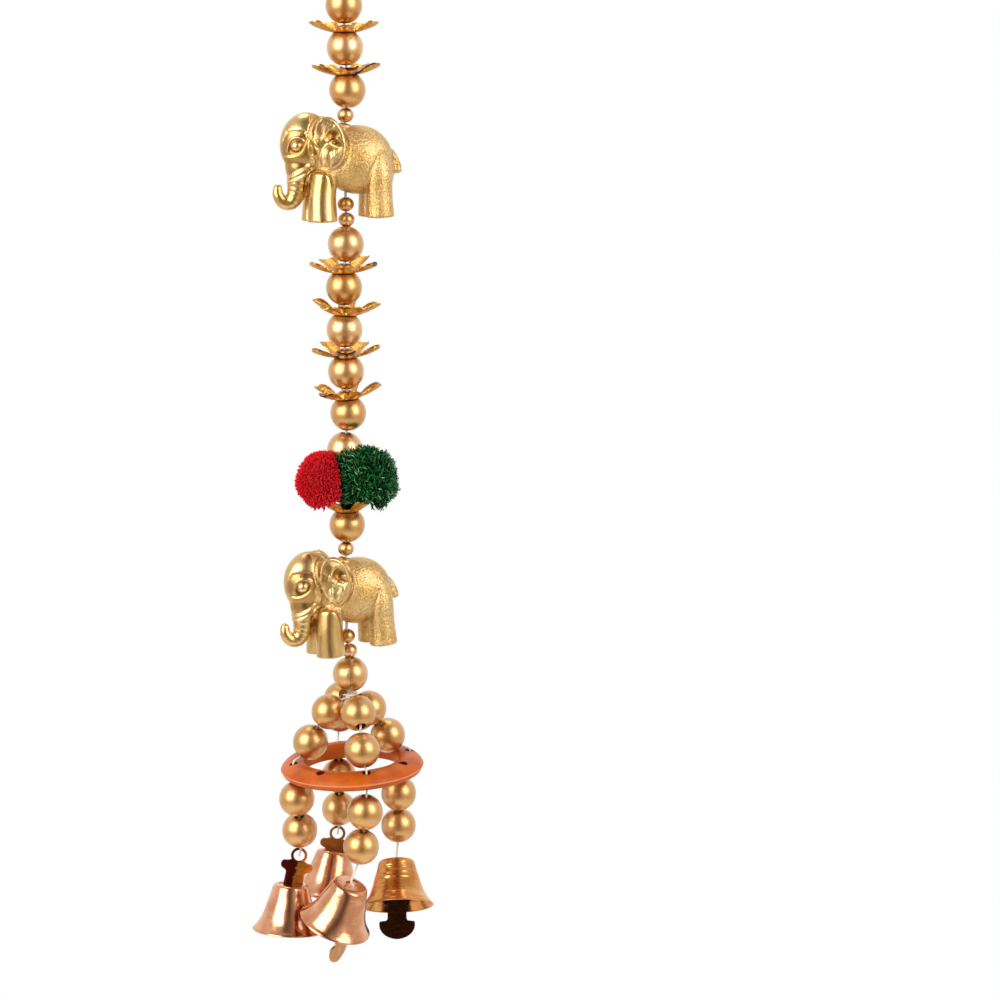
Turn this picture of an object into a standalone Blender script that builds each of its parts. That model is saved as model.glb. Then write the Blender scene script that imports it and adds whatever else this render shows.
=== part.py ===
"""A door hanging: one string of gilt beads, flower caps, elephants and pompoms over a ring of bells.

Sizes are millimetres here and become metres where a mesh is made. +Z is up. The string hangs down
from the origin, the top of its thread loop, and -Y is the side that faces the viewer.
"""

import math
from collections import namedtuple

import bmesh
import bpy
import numpy as np
from mathutils import Matrix, Vector

MM = 0.001
GAP = 0.3

# Driving sizes
BEAD_R = 6.0
BEAD_BORE_R = 1.7
SMALL_BEAD_R = 2.7
SMALL_BEAD_HALF_H = 2.35
THREAD_R = 0.45
SHEET = 0.5
CAP_BORE_R = 1.3
CAP_TIP_R = 11.6
CAP_VALLEY_R = 5.0
PETALS = 5
RING_HOLE_CIRCLE_R = 20.2
RING_HOLE_R = 1.4
BELL_HEIGHT = 16.0
CROWN_SHEET = 0.7
STRIP_SHEET = 0.7
SLOT_LENGTH = 8.2
SLOT_WIDTH = 1.8
SLOT_HOLE_R = 1.9
STRIP_LENGTH = 24.5
EYELET_R = 1.9
ELEPHANT_BORE_R = 1.3
ELEPHANT_BOSS_TOP = 14.7

# The string from the top down: how far below the loop's top, and how far it wanders sideways
Place = namedtuple("Place", "name kind drop side")
STRING = (
    Place("top_knot", "knot", 19.2, -0.1),
    Place("bead_01", "bead", 27.0, -0.2),
    Place("bead_02", "bead", 40.5, 0.0),
    Place("bead_03", "bead", 54.2, 0.7),
    Place("small_bead_1", "small", 62.35, 0.0),
    Place("elephant_upper", "elephant", 79.6, -0.2),
    Place("small_bead_2", "small", 91.4, -0.2),
    Place("small_bead_3", "small", 96.45, 0.0),
    Place("bead_04", "bead", 104.5, -0.3),
    Place("bead_05", "bead", 118.8, -1.0),
    Place("bead_06", "bead", 132.8, -1.0),
    Place("bead_07", "bead", 146.8, -0.6),
    Place("bead_08", "bead", 160.7, 0.0),
    Place("bead_09", "bead", 173.05, -1.2),
    Place("bead_10", "bead", 198.5, -0.7),
    Place("small_bead_4", "small", 206.7, -1.2),
    Place("elephant_lower", "elephant", 224.2, -1.2),
    Place("small_bead_5", "small", 236.7, -1.1),
    Place("small_bead_6", "small", 241.75, -0.4),
    Place("bead_11", "bead", 249.9, -0.1),
    Place("bottom_knot", "knot", 257.6, -0.1),
)

# Flower caps, each on the bead below it: the turn of its petals and how it leans, in degrees
Cap = namedtuple("Cap", "name bead turn lean_side lean_front hub_top")
CAPS = (
    Cap("cap_1", "bead_02", 54, 0.5, -2.0, 7.15),
    Cap("cap_2", "bead_03", 60, 2.5, -1.5, 7.35),
    Cap("cap_3", "bead_05", 52, 1.0, 1.0, 7.9),
    Cap("cap_4", "bead_06", 88, -3.5, 0.0, 7.6),
    Cap("cap_5", "bead_07", 56, 1.0, 1.5, 7.6),
    Cap("cap_6", "bead_08", 82, 3.5, 1.0, 7.5),
    Cap("cap_7", "bead_10", 18, 0.5, 2.5, 7.4),
)

# Elephants: the head turned toward the viewer about the thread, and the nose down, in degrees
ELEPHANT_TURN = {"elephant_upper": (8.0, 3.0), "elephant_lower": (20.0, 6.5)}

# Pompoms: centre, radius, core, and the side of the wall between them that each one fills
Pompom = namedtuple("Pompom", "name x y drop radius core side")
POMPOMS = (
    Pompom("pompom_green", 5.8, -2.6, 183.4, 11.8, 8.8, 1),
    Pompom("pompom_red", -8.0, -3.4, 183.3, 10.4, 7.8, -1),
)
WALL_SLOPE = 0.44
WALL_OFFSET = 8.0
WALL_CLEAR = 0.25
YARN_CHANNEL = (-1.0, 1.1)
YARN_OFF_BEAD = BEAD_R + 0.7
CAP_ROOM = ((0.0, 7.9), (4.5, 8.1), (12.9, 12.6))

# Four strands spread from the bottom knot over the ring: hole angle, then each bead's centre
Strand = namedtuple("Strand", "name hole_angle beads")
STRANDS = (
    Strand("left", 193.7, ((-7.4, -3.0, -262.2), (-13.8, -2.5, -272.8), (-18.6, -6.5, -291.4), (-17.8, -3.2, -303.4))),
    Strand("front", 283.7, ((2.3, -10.5, -261.0), (3.6, -16.5, -272.3), (4.4, -19.6, -292.8), (3.0, -18.5, -305.1))),
    Strand("right", 13.7, ((6.1, 1.3, -262.2), (12.5, 5.4, -272.8), (16.1, 3.5, -292.8), (16.0, 6.0, -304.9))),
    Strand("back", 103.7, ((-3.3, 9.6, -260.8), (-3.9, 20.1, -269.0), (-4.4, 19.7, -290.6), (-4.5, 21.0, -302.9))),
)

# The ring: centre and how it tips, in degrees
RING_CENTRE = (0.25, 0.0, -281.6)
RING_LEAN_SIDE = 2.0
RING_LEAN_FRONT = 1.5

# Bells: crown point, slot direction, how strip and bell lean from plumb along and across the slot,
# how far the strip's eyelet stands above the crown, and how far it sits along the slot
Bell = namedtuple("Bell", "name crown slot_turn strip_along strip_across bell_along bell_across seat slide")
BELLS = (
    Bell("left", (-21.0, -1.5, -322.8), 0.0, -13.0, -4.0, -4.0, -6.0, 10.0, 0.6),
    Bell("front", (-0.6, -20.0, -317.6), 62.0, 0.0, 12.0, 0.0, 22.8, -3.9, 0.0),
    Bell("right", (15.2, 5.5, -317.2), 0.0, 0.0, 0.0, 1.0, -28.8, -3.9, 0.1),
    Bell("back", (-6.2, 22.0, -318.4), 0.0, -10.0, -4.0, -10.0, -12.0, 6.2, 0.0),
)


# Materials

def finish(name, rgb, roughness, metallic=0.0):
    material = bpy.data.materials.new(name)
    material.use_nodes = True
    shader = material.node_tree.nodes["Principled BSDF"]
    shader.inputs["Base Color"].default_value = (*rgb, 1.0)
    shader.inputs["Roughness"].default_value = roughness
    shader.inputs["Metallic"].default_value = metallic
    return material


def make_finishes():
    return {
        "gilt_bead": finish("gilt_bead", (0.58, 0.32, 0.07), 0.30, 0.8),
        "gilt_paint": finish("gilt_paint", (0.67, 0.39, 0.07), 0.42, 0.7),
        "brass_sheet": finish("brass_sheet", (0.55, 0.30, 0.06), 0.32, 1.0),
        "copper_sheet": finish("copper_sheet", (0.80, 0.44, 0.24), 0.22, 1.0),
        "tarnished_strip": finish("tarnished_strip", (0.20, 0.07, 0.03), 0.38, 1.0),
        "ring_plastic": finish("ring_plastic", (0.69, 0.14, 0.02), 0.35),
        "red_yarn": finish("red_yarn", (0.55, 0.0, 0.01), 0.9),
        "green_yarn": finish("green_yarn", (0.0, 0.10, 0.03), 0.9),
        "thread": finish("thread", (0.86, 0.84, 0.80), 0.5),
    }


# Meshes

def mesh_of(name, points, faces):
    """A mesh from points in millimetres, its faces turned outwards."""
    mesh = bpy.data.meshes.new(name)
    mesh.from_pydata([Vector(p) * MM for p in points], [], faces)
    form = bmesh.new()
    form.from_mesh(mesh)
    bmesh.ops.recalc_face_normals(form, faces=form.faces)
    form.to_mesh(mesh)
    form.free()
    return mesh


def piece(name, mesh, material, place=None):
    """An object in the scene, at the pose that the 4 x 4 matrix in millimetres gives."""
    mesh.materials.clear()
    mesh.materials.append(material)
    mesh.shade_smooth()
    mesh.set_sharp_from_angle(angle=math.radians(40))
    obj = bpy.data.objects.new(name, mesh)
    bpy.context.scene.collection.objects.link(obj)
    if place is not None:
        turned = place.copy()
        turned.translation = place.translation * MM
        obj.matrix_world = turned
    return obj


def helper(name, mesh, place=None):
    """A cutter or a shape to be united, left out of the model."""
    obj = bpy.data.objects.new(name, mesh)
    bpy.context.scene.collection.objects.link(obj)
    if place is not None:
        turned = place.copy()
        turned.translation = place.translation * MM
        obj.matrix_world = turned
    obj.hide_render = True
    obj.display_type = "WIRE"
    return obj


def boolean(obj, other, operation):
    modifier = obj.modifiers.new(f"{operation.lower()}_{other.name}", "BOOLEAN")
    modifier.operation = operation
    modifier.solver = "EXACT"
    modifier.object = other


def turned_rings(profile, segments):
    """Points and faces of a closed outline of (radius, height) turned about Z."""
    angles = np.linspace(0, 2 * math.pi, segments, endpoint=False)
    points = [(r * math.cos(a), r * math.sin(a), z) for a in angles for r, z in profile]
    count = len(profile)
    faces = []
    for i in range(segments):
        for j in range(count):
            near, far = i * count, (i + 1) % segments * count
            after = (j + 1) % count
            faces.append((near + j, far + j, far + after, near + after))
    return points, faces


def turned_solid(profile, segments):
    """As turned_rings, for an outline whose first and last points lie on the axis."""
    inner = profile[1:-1]
    angles = np.linspace(0, 2 * math.pi, segments, endpoint=False)
    points = [(r * math.cos(a), r * math.sin(a), z) for a in angles for r, z in inner]
    points += [(0, 0, profile[0][1]), (0, 0, profile[-1][1])]
    start, end = len(points) - 2, len(points) - 1
    count = len(inner)
    faces = []
    for i in range(segments):
        near, far = i * count, (i + 1) % segments * count
        faces.append((start, far, near))
        faces.append((end, near + count - 1, far + count - 1))
        for j in range(count - 1):
            faces.append((near + j, far + j, far + j + 1, near + j + 1))
    return points, faces


def smooth_route(marks, step):
    """Points about a step apart on a Catmull-Rom curve through the marks."""
    marks = [Vector(m) for m in marks]
    ends = [marks[0] * 2 - marks[1]] + marks + [marks[-1] * 2 - marks[-2]]
    route = []
    for a, b, c, d in zip(ends, ends[1:], ends[2:], ends[3:]):
        count = max(1, round((c - b).length / step))
        for t in np.arange(count) / count:
            route.append(0.5 * (2 * b + (c - a) * t + (2 * a - 5 * b + 4 * c - d) * t**2
                                + (3 * b - a - 3 * c + d) * t**3))
    return route + [marks[-1]]


def swept_tube(route, radii, sides, closed=False):
    """Points and faces of a round tube along the route, capped at its ends unless it is closed."""
    count = len(route)
    if np.isscalar(radii):
        radii = [radii] * count
    points, across = [], None
    for i, centre in enumerate(route):
        before = route[i - 1] if i or closed else route[0]
        after = route[(i + 1) % count] if i + 1 < count or closed else route[-1]
        along = (after - before).normalized()
        across = across or along.orthogonal()
        across = (across - along * across.dot(along)).normalized()
        beside = along.cross(across)
        for k in range(sides):
            angle = 2 * math.pi * k / sides
            points.append(centre + (across * math.cos(angle) + beside * math.sin(angle)) * radii[i])
    faces = []
    for i in range(count if closed else count - 1):
        near, far = i * sides, (i + 1) % count * sides
        for k in range(sides):
            after = (k + 1) % sides
            faces.append((near + k, near + after, far + after, far + k))
    if not closed:
        faces.append(tuple(reversed(range(sides))))
        faces.append(tuple(range((count - 1) * sides, count * sides)))
    return points, faces


def pose(centre, up, across=(1, 0, 0)):
    """The matrix that puts local Z on up and local X as near to across as that allows."""
    z = Vector(up).normalized()
    x = (Vector(across) - z * Vector(across).dot(z)).normalized()
    matrix = Matrix((x, z.cross(x), z)).transposed().to_4x4()
    matrix.translation = Vector(centre)
    return matrix


# Beads and thread

def bead_mesh():
    """A ball with a hole through it, its outline an arc between the hole's two rims."""
    start = math.asin(BEAD_BORE_R / BEAD_R)
    arc = np.linspace(start, math.pi - start, 7)
    outline = [(BEAD_R * math.sin(a), BEAD_R * math.cos(a)) for a in arc]
    return mesh_of("bead", *turned_rings(outline, 12))


def small_bead_mesh():
    """A slightly flat small ball with a hole through it."""
    bore = 1.0
    start = math.asin(bore / SMALL_BEAD_R)
    arc = np.linspace(start, math.pi - start, 5)
    outline = [(SMALL_BEAD_R * math.sin(a), SMALL_BEAD_HALF_H * math.cos(a)) for a in arc]
    return mesh_of("small_bead", *turned_rings(outline, 10))


def string_centres():
    return {p.name: Vector((p.side, 0, -p.drop)) for p in STRING}


def string_route():
    """The thread's centre line: straight through each elephant, so that it can turn there."""
    marks = []
    for place in STRING:
        if place.kind == "elephant":
            marks += [(place.side, 0, -place.drop + 12), (place.side, 0, -place.drop - 8)]
        else:
            marks.append((place.side, 0, -place.drop))
    return smooth_route(marks, 5.5)


def make_string_beads(finishes):
    centres = string_centres()
    names = [p.name for p in STRING]
    meshes = {"bead": bead_mesh(), "small": small_bead_mesh()}
    for i, place in enumerate(STRING):
        if place.kind not in meshes:
            continue
        along = centres[names[i - 1]] - centres[names[i + 1]]
        lean = Vector((along.x * 0.5, 0, along.z))
        piece(place.name, meshes[place.kind], finishes["gilt_bead"], pose(centres[place.name], lean))


def make_main_thread(finishes):
    """The string itself, with its knots and the loop that it hangs by united with it."""
    centres = string_centres()
    thread = piece("main_thread", mesh_of("main_thread", *swept_tube(string_route(), THREAD_R, 5)),
                   finishes["thread"])
    knot_top = centres["top_knot"]
    marks = [(0, 0, knot_top.z - 0.3), (-2.6, 0, -13.5), (-4.2, 0, -7.0), (-3.0, 0, -2.2),
             (0, 0, -THREAD_R), (3.0, 0, -2.2), (4.2, 0, -7.0), (2.6, 0, -13.5)]
    loop = smooth_route(marks + marks[:1], 4.0)[:-1]
    united = [helper("loop_shape", mesh_of("loop_shape", *swept_tube(loop, THREAD_R, 5, closed=True)))]
    for name in ("top_knot", "bottom_knot"):
        knot = bmesh.new()
        bmesh.ops.create_icosphere(knot, subdivisions=1, radius=1.35 * MM)
        mesh = bpy.data.meshes.new(name)
        knot.to_mesh(mesh)
        knot.free()
        united.append(helper(f"{name}_shape", mesh, Matrix.Translation(centres[name])))
    for shape in united:
        boolean(thread, shape, "UNION")


# Flower caps

def cap_mesh(cap):
    """A domed hub and five petals, as two sheets a little apart over one polar grid.

    Heights are measured from the centre of the bead below, whose ball the hub sits on.
    """
    ball = BEAD_R + GAP + 0.08
    base_r, hub_r = 4.1, 2.3
    columns = []
    for petal in range(PETALS):
        rise = math.tan(math.radians(28 + 5 * math.sin(cap.turn + 2.4 * petal)))
        for offset in (-36, -22, -8, 8, 22):
            angle = math.radians(cap.turn + 72 * petal + offset)
            lobe = abs(math.cos(2.5 * math.radians(offset))) ** 0.9
            reach = CAP_VALLEY_R + (CAP_TIP_R - CAP_VALLEY_R) * lobe
            base = math.sqrt(ball**2 - base_r**2)
            tip = base + rise * (reach - base_r)
            outline = ((CAP_BORE_R, cap.hub_top), (hub_r, cap.hub_top - 0.1), (base_r, base + SHEET + 0.1),
                       (reach, tip + SHEET), (reach, tip), (base_r, base),
                       (hub_r, math.sqrt(ball**2 - hub_r**2)), (CAP_BORE_R, math.sqrt(ball**2 - CAP_BORE_R**2)))
            columns.append([(r * math.cos(angle), r * math.sin(angle), z) for r, z in outline])
    count, rows = len(columns), len(columns[0])
    points = [p for column in columns for p in column]
    faces = [
        (i * rows + j, (i + 1) % count * rows + j, (i + 1) % count * rows + (j + 1) % rows,
         i * rows + (j + 1) % rows)
        for i in range(count) for j in range(rows)
    ]
    return mesh_of(cap.name, points, faces)


def make_caps(finishes):
    centres = string_centres()
    for cap in CAPS:
        up = (math.tan(math.radians(-cap.lean_side)), math.tan(math.radians(-cap.lean_front)), 1)
        piece(cap.name, cap_mesh(cap), finishes["brass_sheet"], pose(centres[cap.bead], up))


# Elephants: u runs from head (-) to tail (+), v from the near side (-) to the far one, w up

Lump = namedtuple("Lump", "what u v w ru rv rw pitch")
ELEPHANT_LUMPS = (
    Lump("barrel", 4.0, 0, 2.6, 12.0, 8.3, 11.3, 0),
    Lump("shoulder", -4.5, 0, 3.0, 6.5, 7.6, 9.5, 0),
    Lump("haunch", 9.6, 0, -1.0, 6.6, 7.4, 9.0, 0),
    Lump("head", -12.6, 0, 8.9, 8.4, 6.6, 10.0, 12),
    Lump("muzzle", -14.6, 0, 1.4, 5.2, 4.8, 6.0, 0),
)
Limb = namedtuple("Limb", "what marks radii")
ELEPHANT_LIMBS = (
    Limb("near_front_leg", ((-7.6, -4.0, -2), (-8.8, -4.2, -9), (-9.2, -4.2, -16.9)), (4.4, 4.6, 5.0)),
    Limb("far_front_leg", ((-8.2, 3.4, -2), (-10.3, 3.3, -9), (-11.2, 3.2, -16.9)), (4.0, 3.8, 4.0)),
    Limb("near_hind_leg", ((9.9, -4.0, -3), (10.0, -4.2, -10), (9.9, -4.2, -16.4)), (5.0, 4.5, 4.8)),
    Limb("far_hind_leg", ((9.0, 3.6, -3), (8.2, 3.5, -10), (7.8, 3.4, -16.4)), (4.6, 3.9, 4.1)),
    Limb("trunk", ((-14.6, 0, 3.0), (-15.7, 0, -2.3), (-16.6, 0, -6.9), (-18.5, 0, -9.9), (-21.1, 0, -9.9),
                   (-22.7, 0, -7.5), (-22.7, 0, -4.9)), (4.8, 3.9, 3.2, 2.6, 2.2, 1.9, 1.4)),
    Limb("tail", ((14.4, 0, 5.7), (16.2, 0, 3.2), (17.1, 0, 0.2), (17.3, 0, -2.6)), (1.3, 1.2, 1.2, 1.4)),
)
EAR = Lump("ear", -5.6, 7.4, 8.9, 5.1, 1.4, 8.4, -6)


def lump_mesh(lump, side=1):
    form = bmesh.new()
    bmesh.ops.create_uvsphere(form, u_segments=20, v_segments=12, radius=1.0)
    place = Matrix.Translation(Vector((lump.u, lump.v * side, lump.w)))
    place = place @ Matrix.Rotation(math.radians(lump.pitch), 4, "Y")
    place = place @ Matrix.Diagonal((lump.ru, lump.rv, lump.rw, 1))
    bmesh.ops.transform(form, matrix=place, verts=form.verts)
    points = [v.co.copy() for v in form.verts]
    faces = [tuple(v.index for v in f.verts) for f in form.faces]
    form.free()
    return points, faces


def elephant_mesh():
    """All the lumps and limbs as closed shells in one mesh, which the Remesh makes one skin."""
    shells = [lump_mesh(lump) for lump in ELEPHANT_LUMPS]
    shells += [lump_mesh(EAR, side) for side in (-1, 1)]
    for limb in ELEPHANT_LIMBS:
        route = [Vector(m) for m in limb.marks]
        shells.append(swept_tube(route, limb.radii, 12))
    shells.append(swept_tube([Vector((0, 0, 9)), Vector((0, 0, ELEPHANT_BOSS_TOP))], 2.9, 16))
    points, faces = [], []
    for some_points, some_faces in shells:
        start = len(points)
        points += some_points
        faces += [tuple(start + i for i in f) for f in some_faces]
    return mesh_of("elephant", points, faces)


def make_elephants(finishes):
    """Each elephant's origin is on the thread's line, about which it can turn."""
    centres = string_centres()
    bore = mesh_of("elephant_bore", *swept_tube([Vector((0, 0, -30)), Vector((0, 0, 30))], ELEPHANT_BORE_R, 8))
    for name, (turn, nose_down) in ELEPHANT_TURN.items():
        mesh = elephant_mesh()
        lean = Matrix.Rotation(math.radians(-nose_down), 4, "Y")
        mesh.transform(Matrix.Rotation(math.radians(turn), 4, "Z") @ lean)
        place = Matrix.Translation(centres[name])
        body = piece(name, mesh, finishes["gilt_paint"], place)
        skin = body.modifiers.new("one_skin", "REMESH")
        skin.mode = "VOXEL"
        skin.voxel_size = 0.85 * MM
        fewer = body.modifiers.new("fewer_faces", "DECIMATE")
        fewer.ratio = 0.08
        boolean(body, helper(f"{name}_bore", bore, place), "DIFFERENCE")


# Pompoms

def room_for_yarn(point, side):
    """Whether a point is clear of the beads, thread and cap that press into the pompoms, and on its own side."""
    centres = string_centres()
    if side * (point.x + WALL_SLOPE * point.y + WALL_OFFSET) < WALL_CLEAR:
        return False
    if (point - centres["bead_09"]).length < YARN_OFF_BEAD:
        return False
    if math.hypot(point.x - YARN_CHANNEL[0], point.y) < YARN_CHANNEL[1]:
        return False
    below = centres["bead_10"]
    flat = math.hypot(point.x - below.x, point.y - below.y)
    return flat > CAP_ROOM[-1][0] or point.z - below.z > np.interp(flat, *zip(*CAP_ROOM))


def pompom_mesh(ball):
    """A core with a three-sided lock drawn out of each of its faces, as far as there is room."""
    centre = Vector((ball.x, ball.y, -ball.drop))
    form = bmesh.new()
    bmesh.ops.create_icosphere(form, subdivisions=2, radius=ball.core)
    bmesh.ops.rotate(form, verts=form.verts, matrix=Matrix.Rotation(0.35, 3, "X") @ Matrix.Rotation(0.2, 3, "Y"))
    inset = bmesh.ops.inset_individual(form, faces=form.faces[:], thickness=0.05 * ball.core)
    rim = set(inset["faces"])
    roots = [f for f in form.faces if f not in rim and room_for_yarn(centre + f.calc_center_median() * 1.08, ball.side)]
    drawn = bmesh.ops.extrude_discrete_faces(form, faces=roots)["faces"]
    for number, face in enumerate(drawn):
        middle = face.calc_center_median()
        along = middle.normalized()
        longest = ball.radius * (1 - 0.05 * (number % 3))
        length = middle.length
        while length < longest and room_for_yarn(centre + along * (length + 0.9), ball.side):
            length += 0.2
        for vert in face.verts:
            vert.co = along * length + (vert.co - middle) * 0.8
    mesh = bpy.data.meshes.new(ball.name)
    bmesh.ops.scale(form, vec=(MM, MM, MM), verts=form.verts)
    bmesh.ops.recalc_face_normals(form, faces=form.faces)
    form.to_mesh(mesh)
    form.free()
    return mesh, centre


def yarn_cutters(side):
    """What a pompom is pressed away from: the bead over it, the cap under it, the thread and its neighbour."""
    centres = string_centres()
    form = bmesh.new()
    bmesh.ops.create_uvsphere(form, u_segments=16, v_segments=10, radius=YARN_OFF_BEAD * MM)
    bead = bpy.data.meshes.new("bead_room")
    form.to_mesh(bead)
    form.clear()
    reach = 40.0
    bmesh.ops.create_cube(form, size=reach * MM)
    wall = bpy.data.meshes.new("wall_room")
    form.to_mesh(wall)
    form.free()
    lean = math.hypot(1, WALL_SLOPE)
    across = Vector((1, WALL_SLOPE, 0)) / lean
    away = across * (-WALL_OFFSET / lean + side * (WALL_CLEAR - reach / 2))
    outline = [(0, CAP_ROOM[0][1]), *CAP_ROOM[1:], (CAP_ROOM[-1][0], -9.0), (0, -9.0)]
    cutters = {
        "bead_room": (bead, Matrix.Translation(centres["bead_09"])),
        "cap_room": (mesh_of("cap_room", *turned_solid(outline, 20)), Matrix.Translation(centres["bead_10"])),
        "wall_room": (wall, pose(away + Vector((0, 0, -POMPOMS[0].drop)), (0, 0, 1), across)),
    }
    if side > 0:
        channel = [Vector((YARN_CHANNEL[0], 0, z)) for z in (-172.0, -196.0)]
        cutters["channel"] = (mesh_of("channel", *swept_tube(channel, YARN_CHANNEL[1], 8)), Matrix())
    return cutters


def make_pompoms(finishes):
    for ball, yarn in zip(POMPOMS, ("green_yarn", "red_yarn")):
        mesh, centre = pompom_mesh(ball)
        pompom = piece(ball.name, mesh, finishes[yarn], Matrix.Translation(centre))
        for what, (cutter, place) in yarn_cutters(ball.side).items():
            boolean(pompom, helper(f"{ball.name}_{what}", cutter, place), "DIFFERENCE")


# Ring and strands

def ring_place():
    lean = Matrix.Rotation(math.radians(-RING_LEAN_SIDE), 4, "Y")
    lean = lean @ Matrix.Rotation(math.radians(RING_LEAN_FRONT), 4, "X")
    return Matrix.Translation(Vector(RING_CENTRE)) @ lean


def ring_point(angle, height):
    """A point on a hole's line, at a height over the ring's parting line."""
    turn = math.radians(angle)
    local = Vector((RING_HOLE_CIRCLE_R * math.cos(turn), RING_HOLE_CIRCLE_R * math.sin(turn), height))
    return ring_place() @ local


def make_ring(finishes):
    outline = ((16.0, 2.0), (17.6, 2.9), (20.4, 2.8), (22.9, 1.6), (24.2, 0.2), (24.1, -0.8), (23.1, -2.5),
               (21.4, -2.8), (17.4, -2.5), (16.0, -1.6))
    ring = piece("ring", mesh_of("ring", *turned_rings(outline, 24)), finishes["ring_plastic"], ring_place())
    points, faces = [], []
    for hole in range(8):
        turn = math.radians(STRANDS[0].hole_angle + 45 * hole)
        centre = Vector((RING_HOLE_CIRCLE_R * math.cos(turn), RING_HOLE_CIRCLE_R * math.sin(turn), 0))
        some_points, some_faces = swept_tube(
            [centre + Vector((0, 0, -5)), centre + Vector((0, 0, 5))], RING_HOLE_R, 8)
        start = len(points)
        points += some_points
        faces += [tuple(start + i for i in f) for f in some_faces]
    boolean(ring, helper("ring_holes", mesh_of("ring_holes", points, faces), ring_place()), "DIFFERENCE")


def down_line(slot_turn, along, across):
    """The unit vector that hangs down, leaned along and across the slot by degrees."""
    turn = math.radians(slot_turn)
    slot = Vector((math.cos(turn), math.sin(turn), 0))
    beside = Vector((-math.sin(turn), math.cos(turn), 0))
    lean = Vector((0, 0, -1)) + slot * math.tan(math.radians(along)) + beside * math.tan(math.radians(across))
    return lean.normalized(), slot, beside


def strip_place(bell):
    """The strip's own frame, with its eyelet at the origin and its length along -Z."""
    down, slot, _ = down_line(bell.slot_turn, bell.strip_along, bell.strip_across)
    return pose(Vector(bell.crown) + slot * bell.slide - down * bell.seat, -down, slot)


def bell_place(bell):
    down, slot, _ = down_line(bell.slot_turn, bell.bell_along, bell.bell_across)
    return pose(Vector(bell.crown), -down, slot)


def strand_axes(strand):
    """Each bead of the strand with the line of its hole, from its neighbours on the way down."""
    knot = string_centres()["bottom_knot"]
    stops = [knot, *map(Vector, strand.beads[:2]), ring_point(strand.hole_angle, 0.0), *map(Vector, strand.beads[2:])]
    bell = next(b for b in BELLS if b.name == strand.name)
    stops.append(strip_place(bell).translation)
    axes = []
    for i in (1, 2, 4, 5):
        before = (stops[i] - stops[i - 1]).normalized()
        after = (stops[i + 1] - stops[i]).normalized()
        axes.append((stops[i], (before + after).normalized()))
    return axes


def strand_route(strand):
    """From the knot through two beads, a hole of the ring and two more beads to the strip's eyelet."""
    knot = string_centres()["bottom_knot"]
    bell = next(b for b in BELLS if b.name == strand.name)
    reach = BEAD_R - 1.0
    axes = strand_axes(strand)
    start = knot + (axes[0][0] - knot).normalized() * 2.1
    marks = [start]
    for number, (centre, down) in enumerate(axes):
        marks += [centre - down * reach, centre, centre + down * reach]
        if number == 1:
            marks += [ring_point(strand.hole_angle, height) for height in (3.5, 0.4, -2.5)]
    strip = strip_place(bell)
    top = [(0, 0, 5.4), (0, -0.8, 3.7)] if bell.seat < 0 else [(0, -1.15, 3.2)]
    hook = [*top, (0, -1.15, 2.2), (0, -1.15, 0.9), (0, -0.6, 0.1), (0, 0.9, -0.1)]
    marks += [strip @ Vector(p) for p in hook]
    return smooth_route(marks, 2.6)


def make_strands(finishes):
    mesh = bead_mesh()
    for strand in STRANDS:
        for number, (centre, down) in enumerate(strand_axes(strand), 1):
            piece(f"{strand.name}_bead_{number}", mesh, finishes["gilt_bead"], pose(centre, -down))
        tube = swept_tube(strand_route(strand), THREAD_R * 0.8, 5)
        piece(f"{strand.name}_thread", mesh_of(f"{strand.name}_thread", *tube), finishes["thread"])


# Bells and the strips they hang on

def bell_mesh():
    """A flared bell with a flat crown, thin in its wall and open at the mouth."""
    outline = ((0, 0), (5.3, 0), (6.4, 0.6), (8.2, 7.0), (9.1, 10.4), (10.4, 13.1), (12.2, 15.6), (12.2, 16.0),
               (11.5, 15.9), (9.8, 13.2), (7.6, 7.0), (5.6, 1.0), (0, CROWN_SHEET))
    return mesh_of("bell", *turned_solid([(r, -depth) for r, depth in outline], 16))


def slot_cutters():
    form = bmesh.new()
    bmesh.ops.create_cube(form, size=1.0)
    bmesh.ops.scale(form, vec=(SLOT_LENGTH * MM, SLOT_WIDTH * MM, 3 * MM), verts=form.verts)
    slot = bpy.data.meshes.new("slot")
    form.to_mesh(slot)
    form.free()
    hole = mesh_of("slot_hole", *swept_tube([Vector((0, 0, -1.5)), Vector((0, 0, 1.5))], SLOT_HOLE_R, 10))
    return slot, hole


def arc(x, z, radius_x, radius_z, start, end, count):
    """Points on an oval's arc, from one angle to another in degrees."""
    angles = np.radians(np.linspace(start, end, count))
    return [(x + radius_x * math.cos(a), z + radius_z * math.sin(a)) for a in angles]


def strip_mesh():
    """A flat stamped strip: an eyelet head on a flange, a stem, and a striker like a mushroom."""
    stem, flange, striker = 3.25, 5.5, 6.2
    right = arc(0, 0, 2.8, 2.8, 90, -30, 5)
    right += [(flange - 1.2, -2.3)] + arc(flange - 1.2, -3.8, 1.2, 1.5, 60, -70, 3) + [(stem, -6.0)]
    right += [(stem, -STRIP_LENGTH + 7.2)]
    right += arc(0, -STRIP_LENGTH + 5.2, striker, 5.2, 18, -90, 6)
    left = [(-x, z) for x, z in reversed(right[1:-1])]
    outline = right + left
    count = len(outline)
    half = STRIP_SHEET / 2
    points = [(x, -half, z) for x, z in outline] + [(x, half, z) for x, z in outline]
    faces = [tuple(range(count)), tuple(reversed(range(count, 2 * count)))]
    faces += [(i, i + count, (i + 1) % count + count, (i + 1) % count) for i in range(count)]
    return mesh_of("strip", points, faces)


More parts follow.
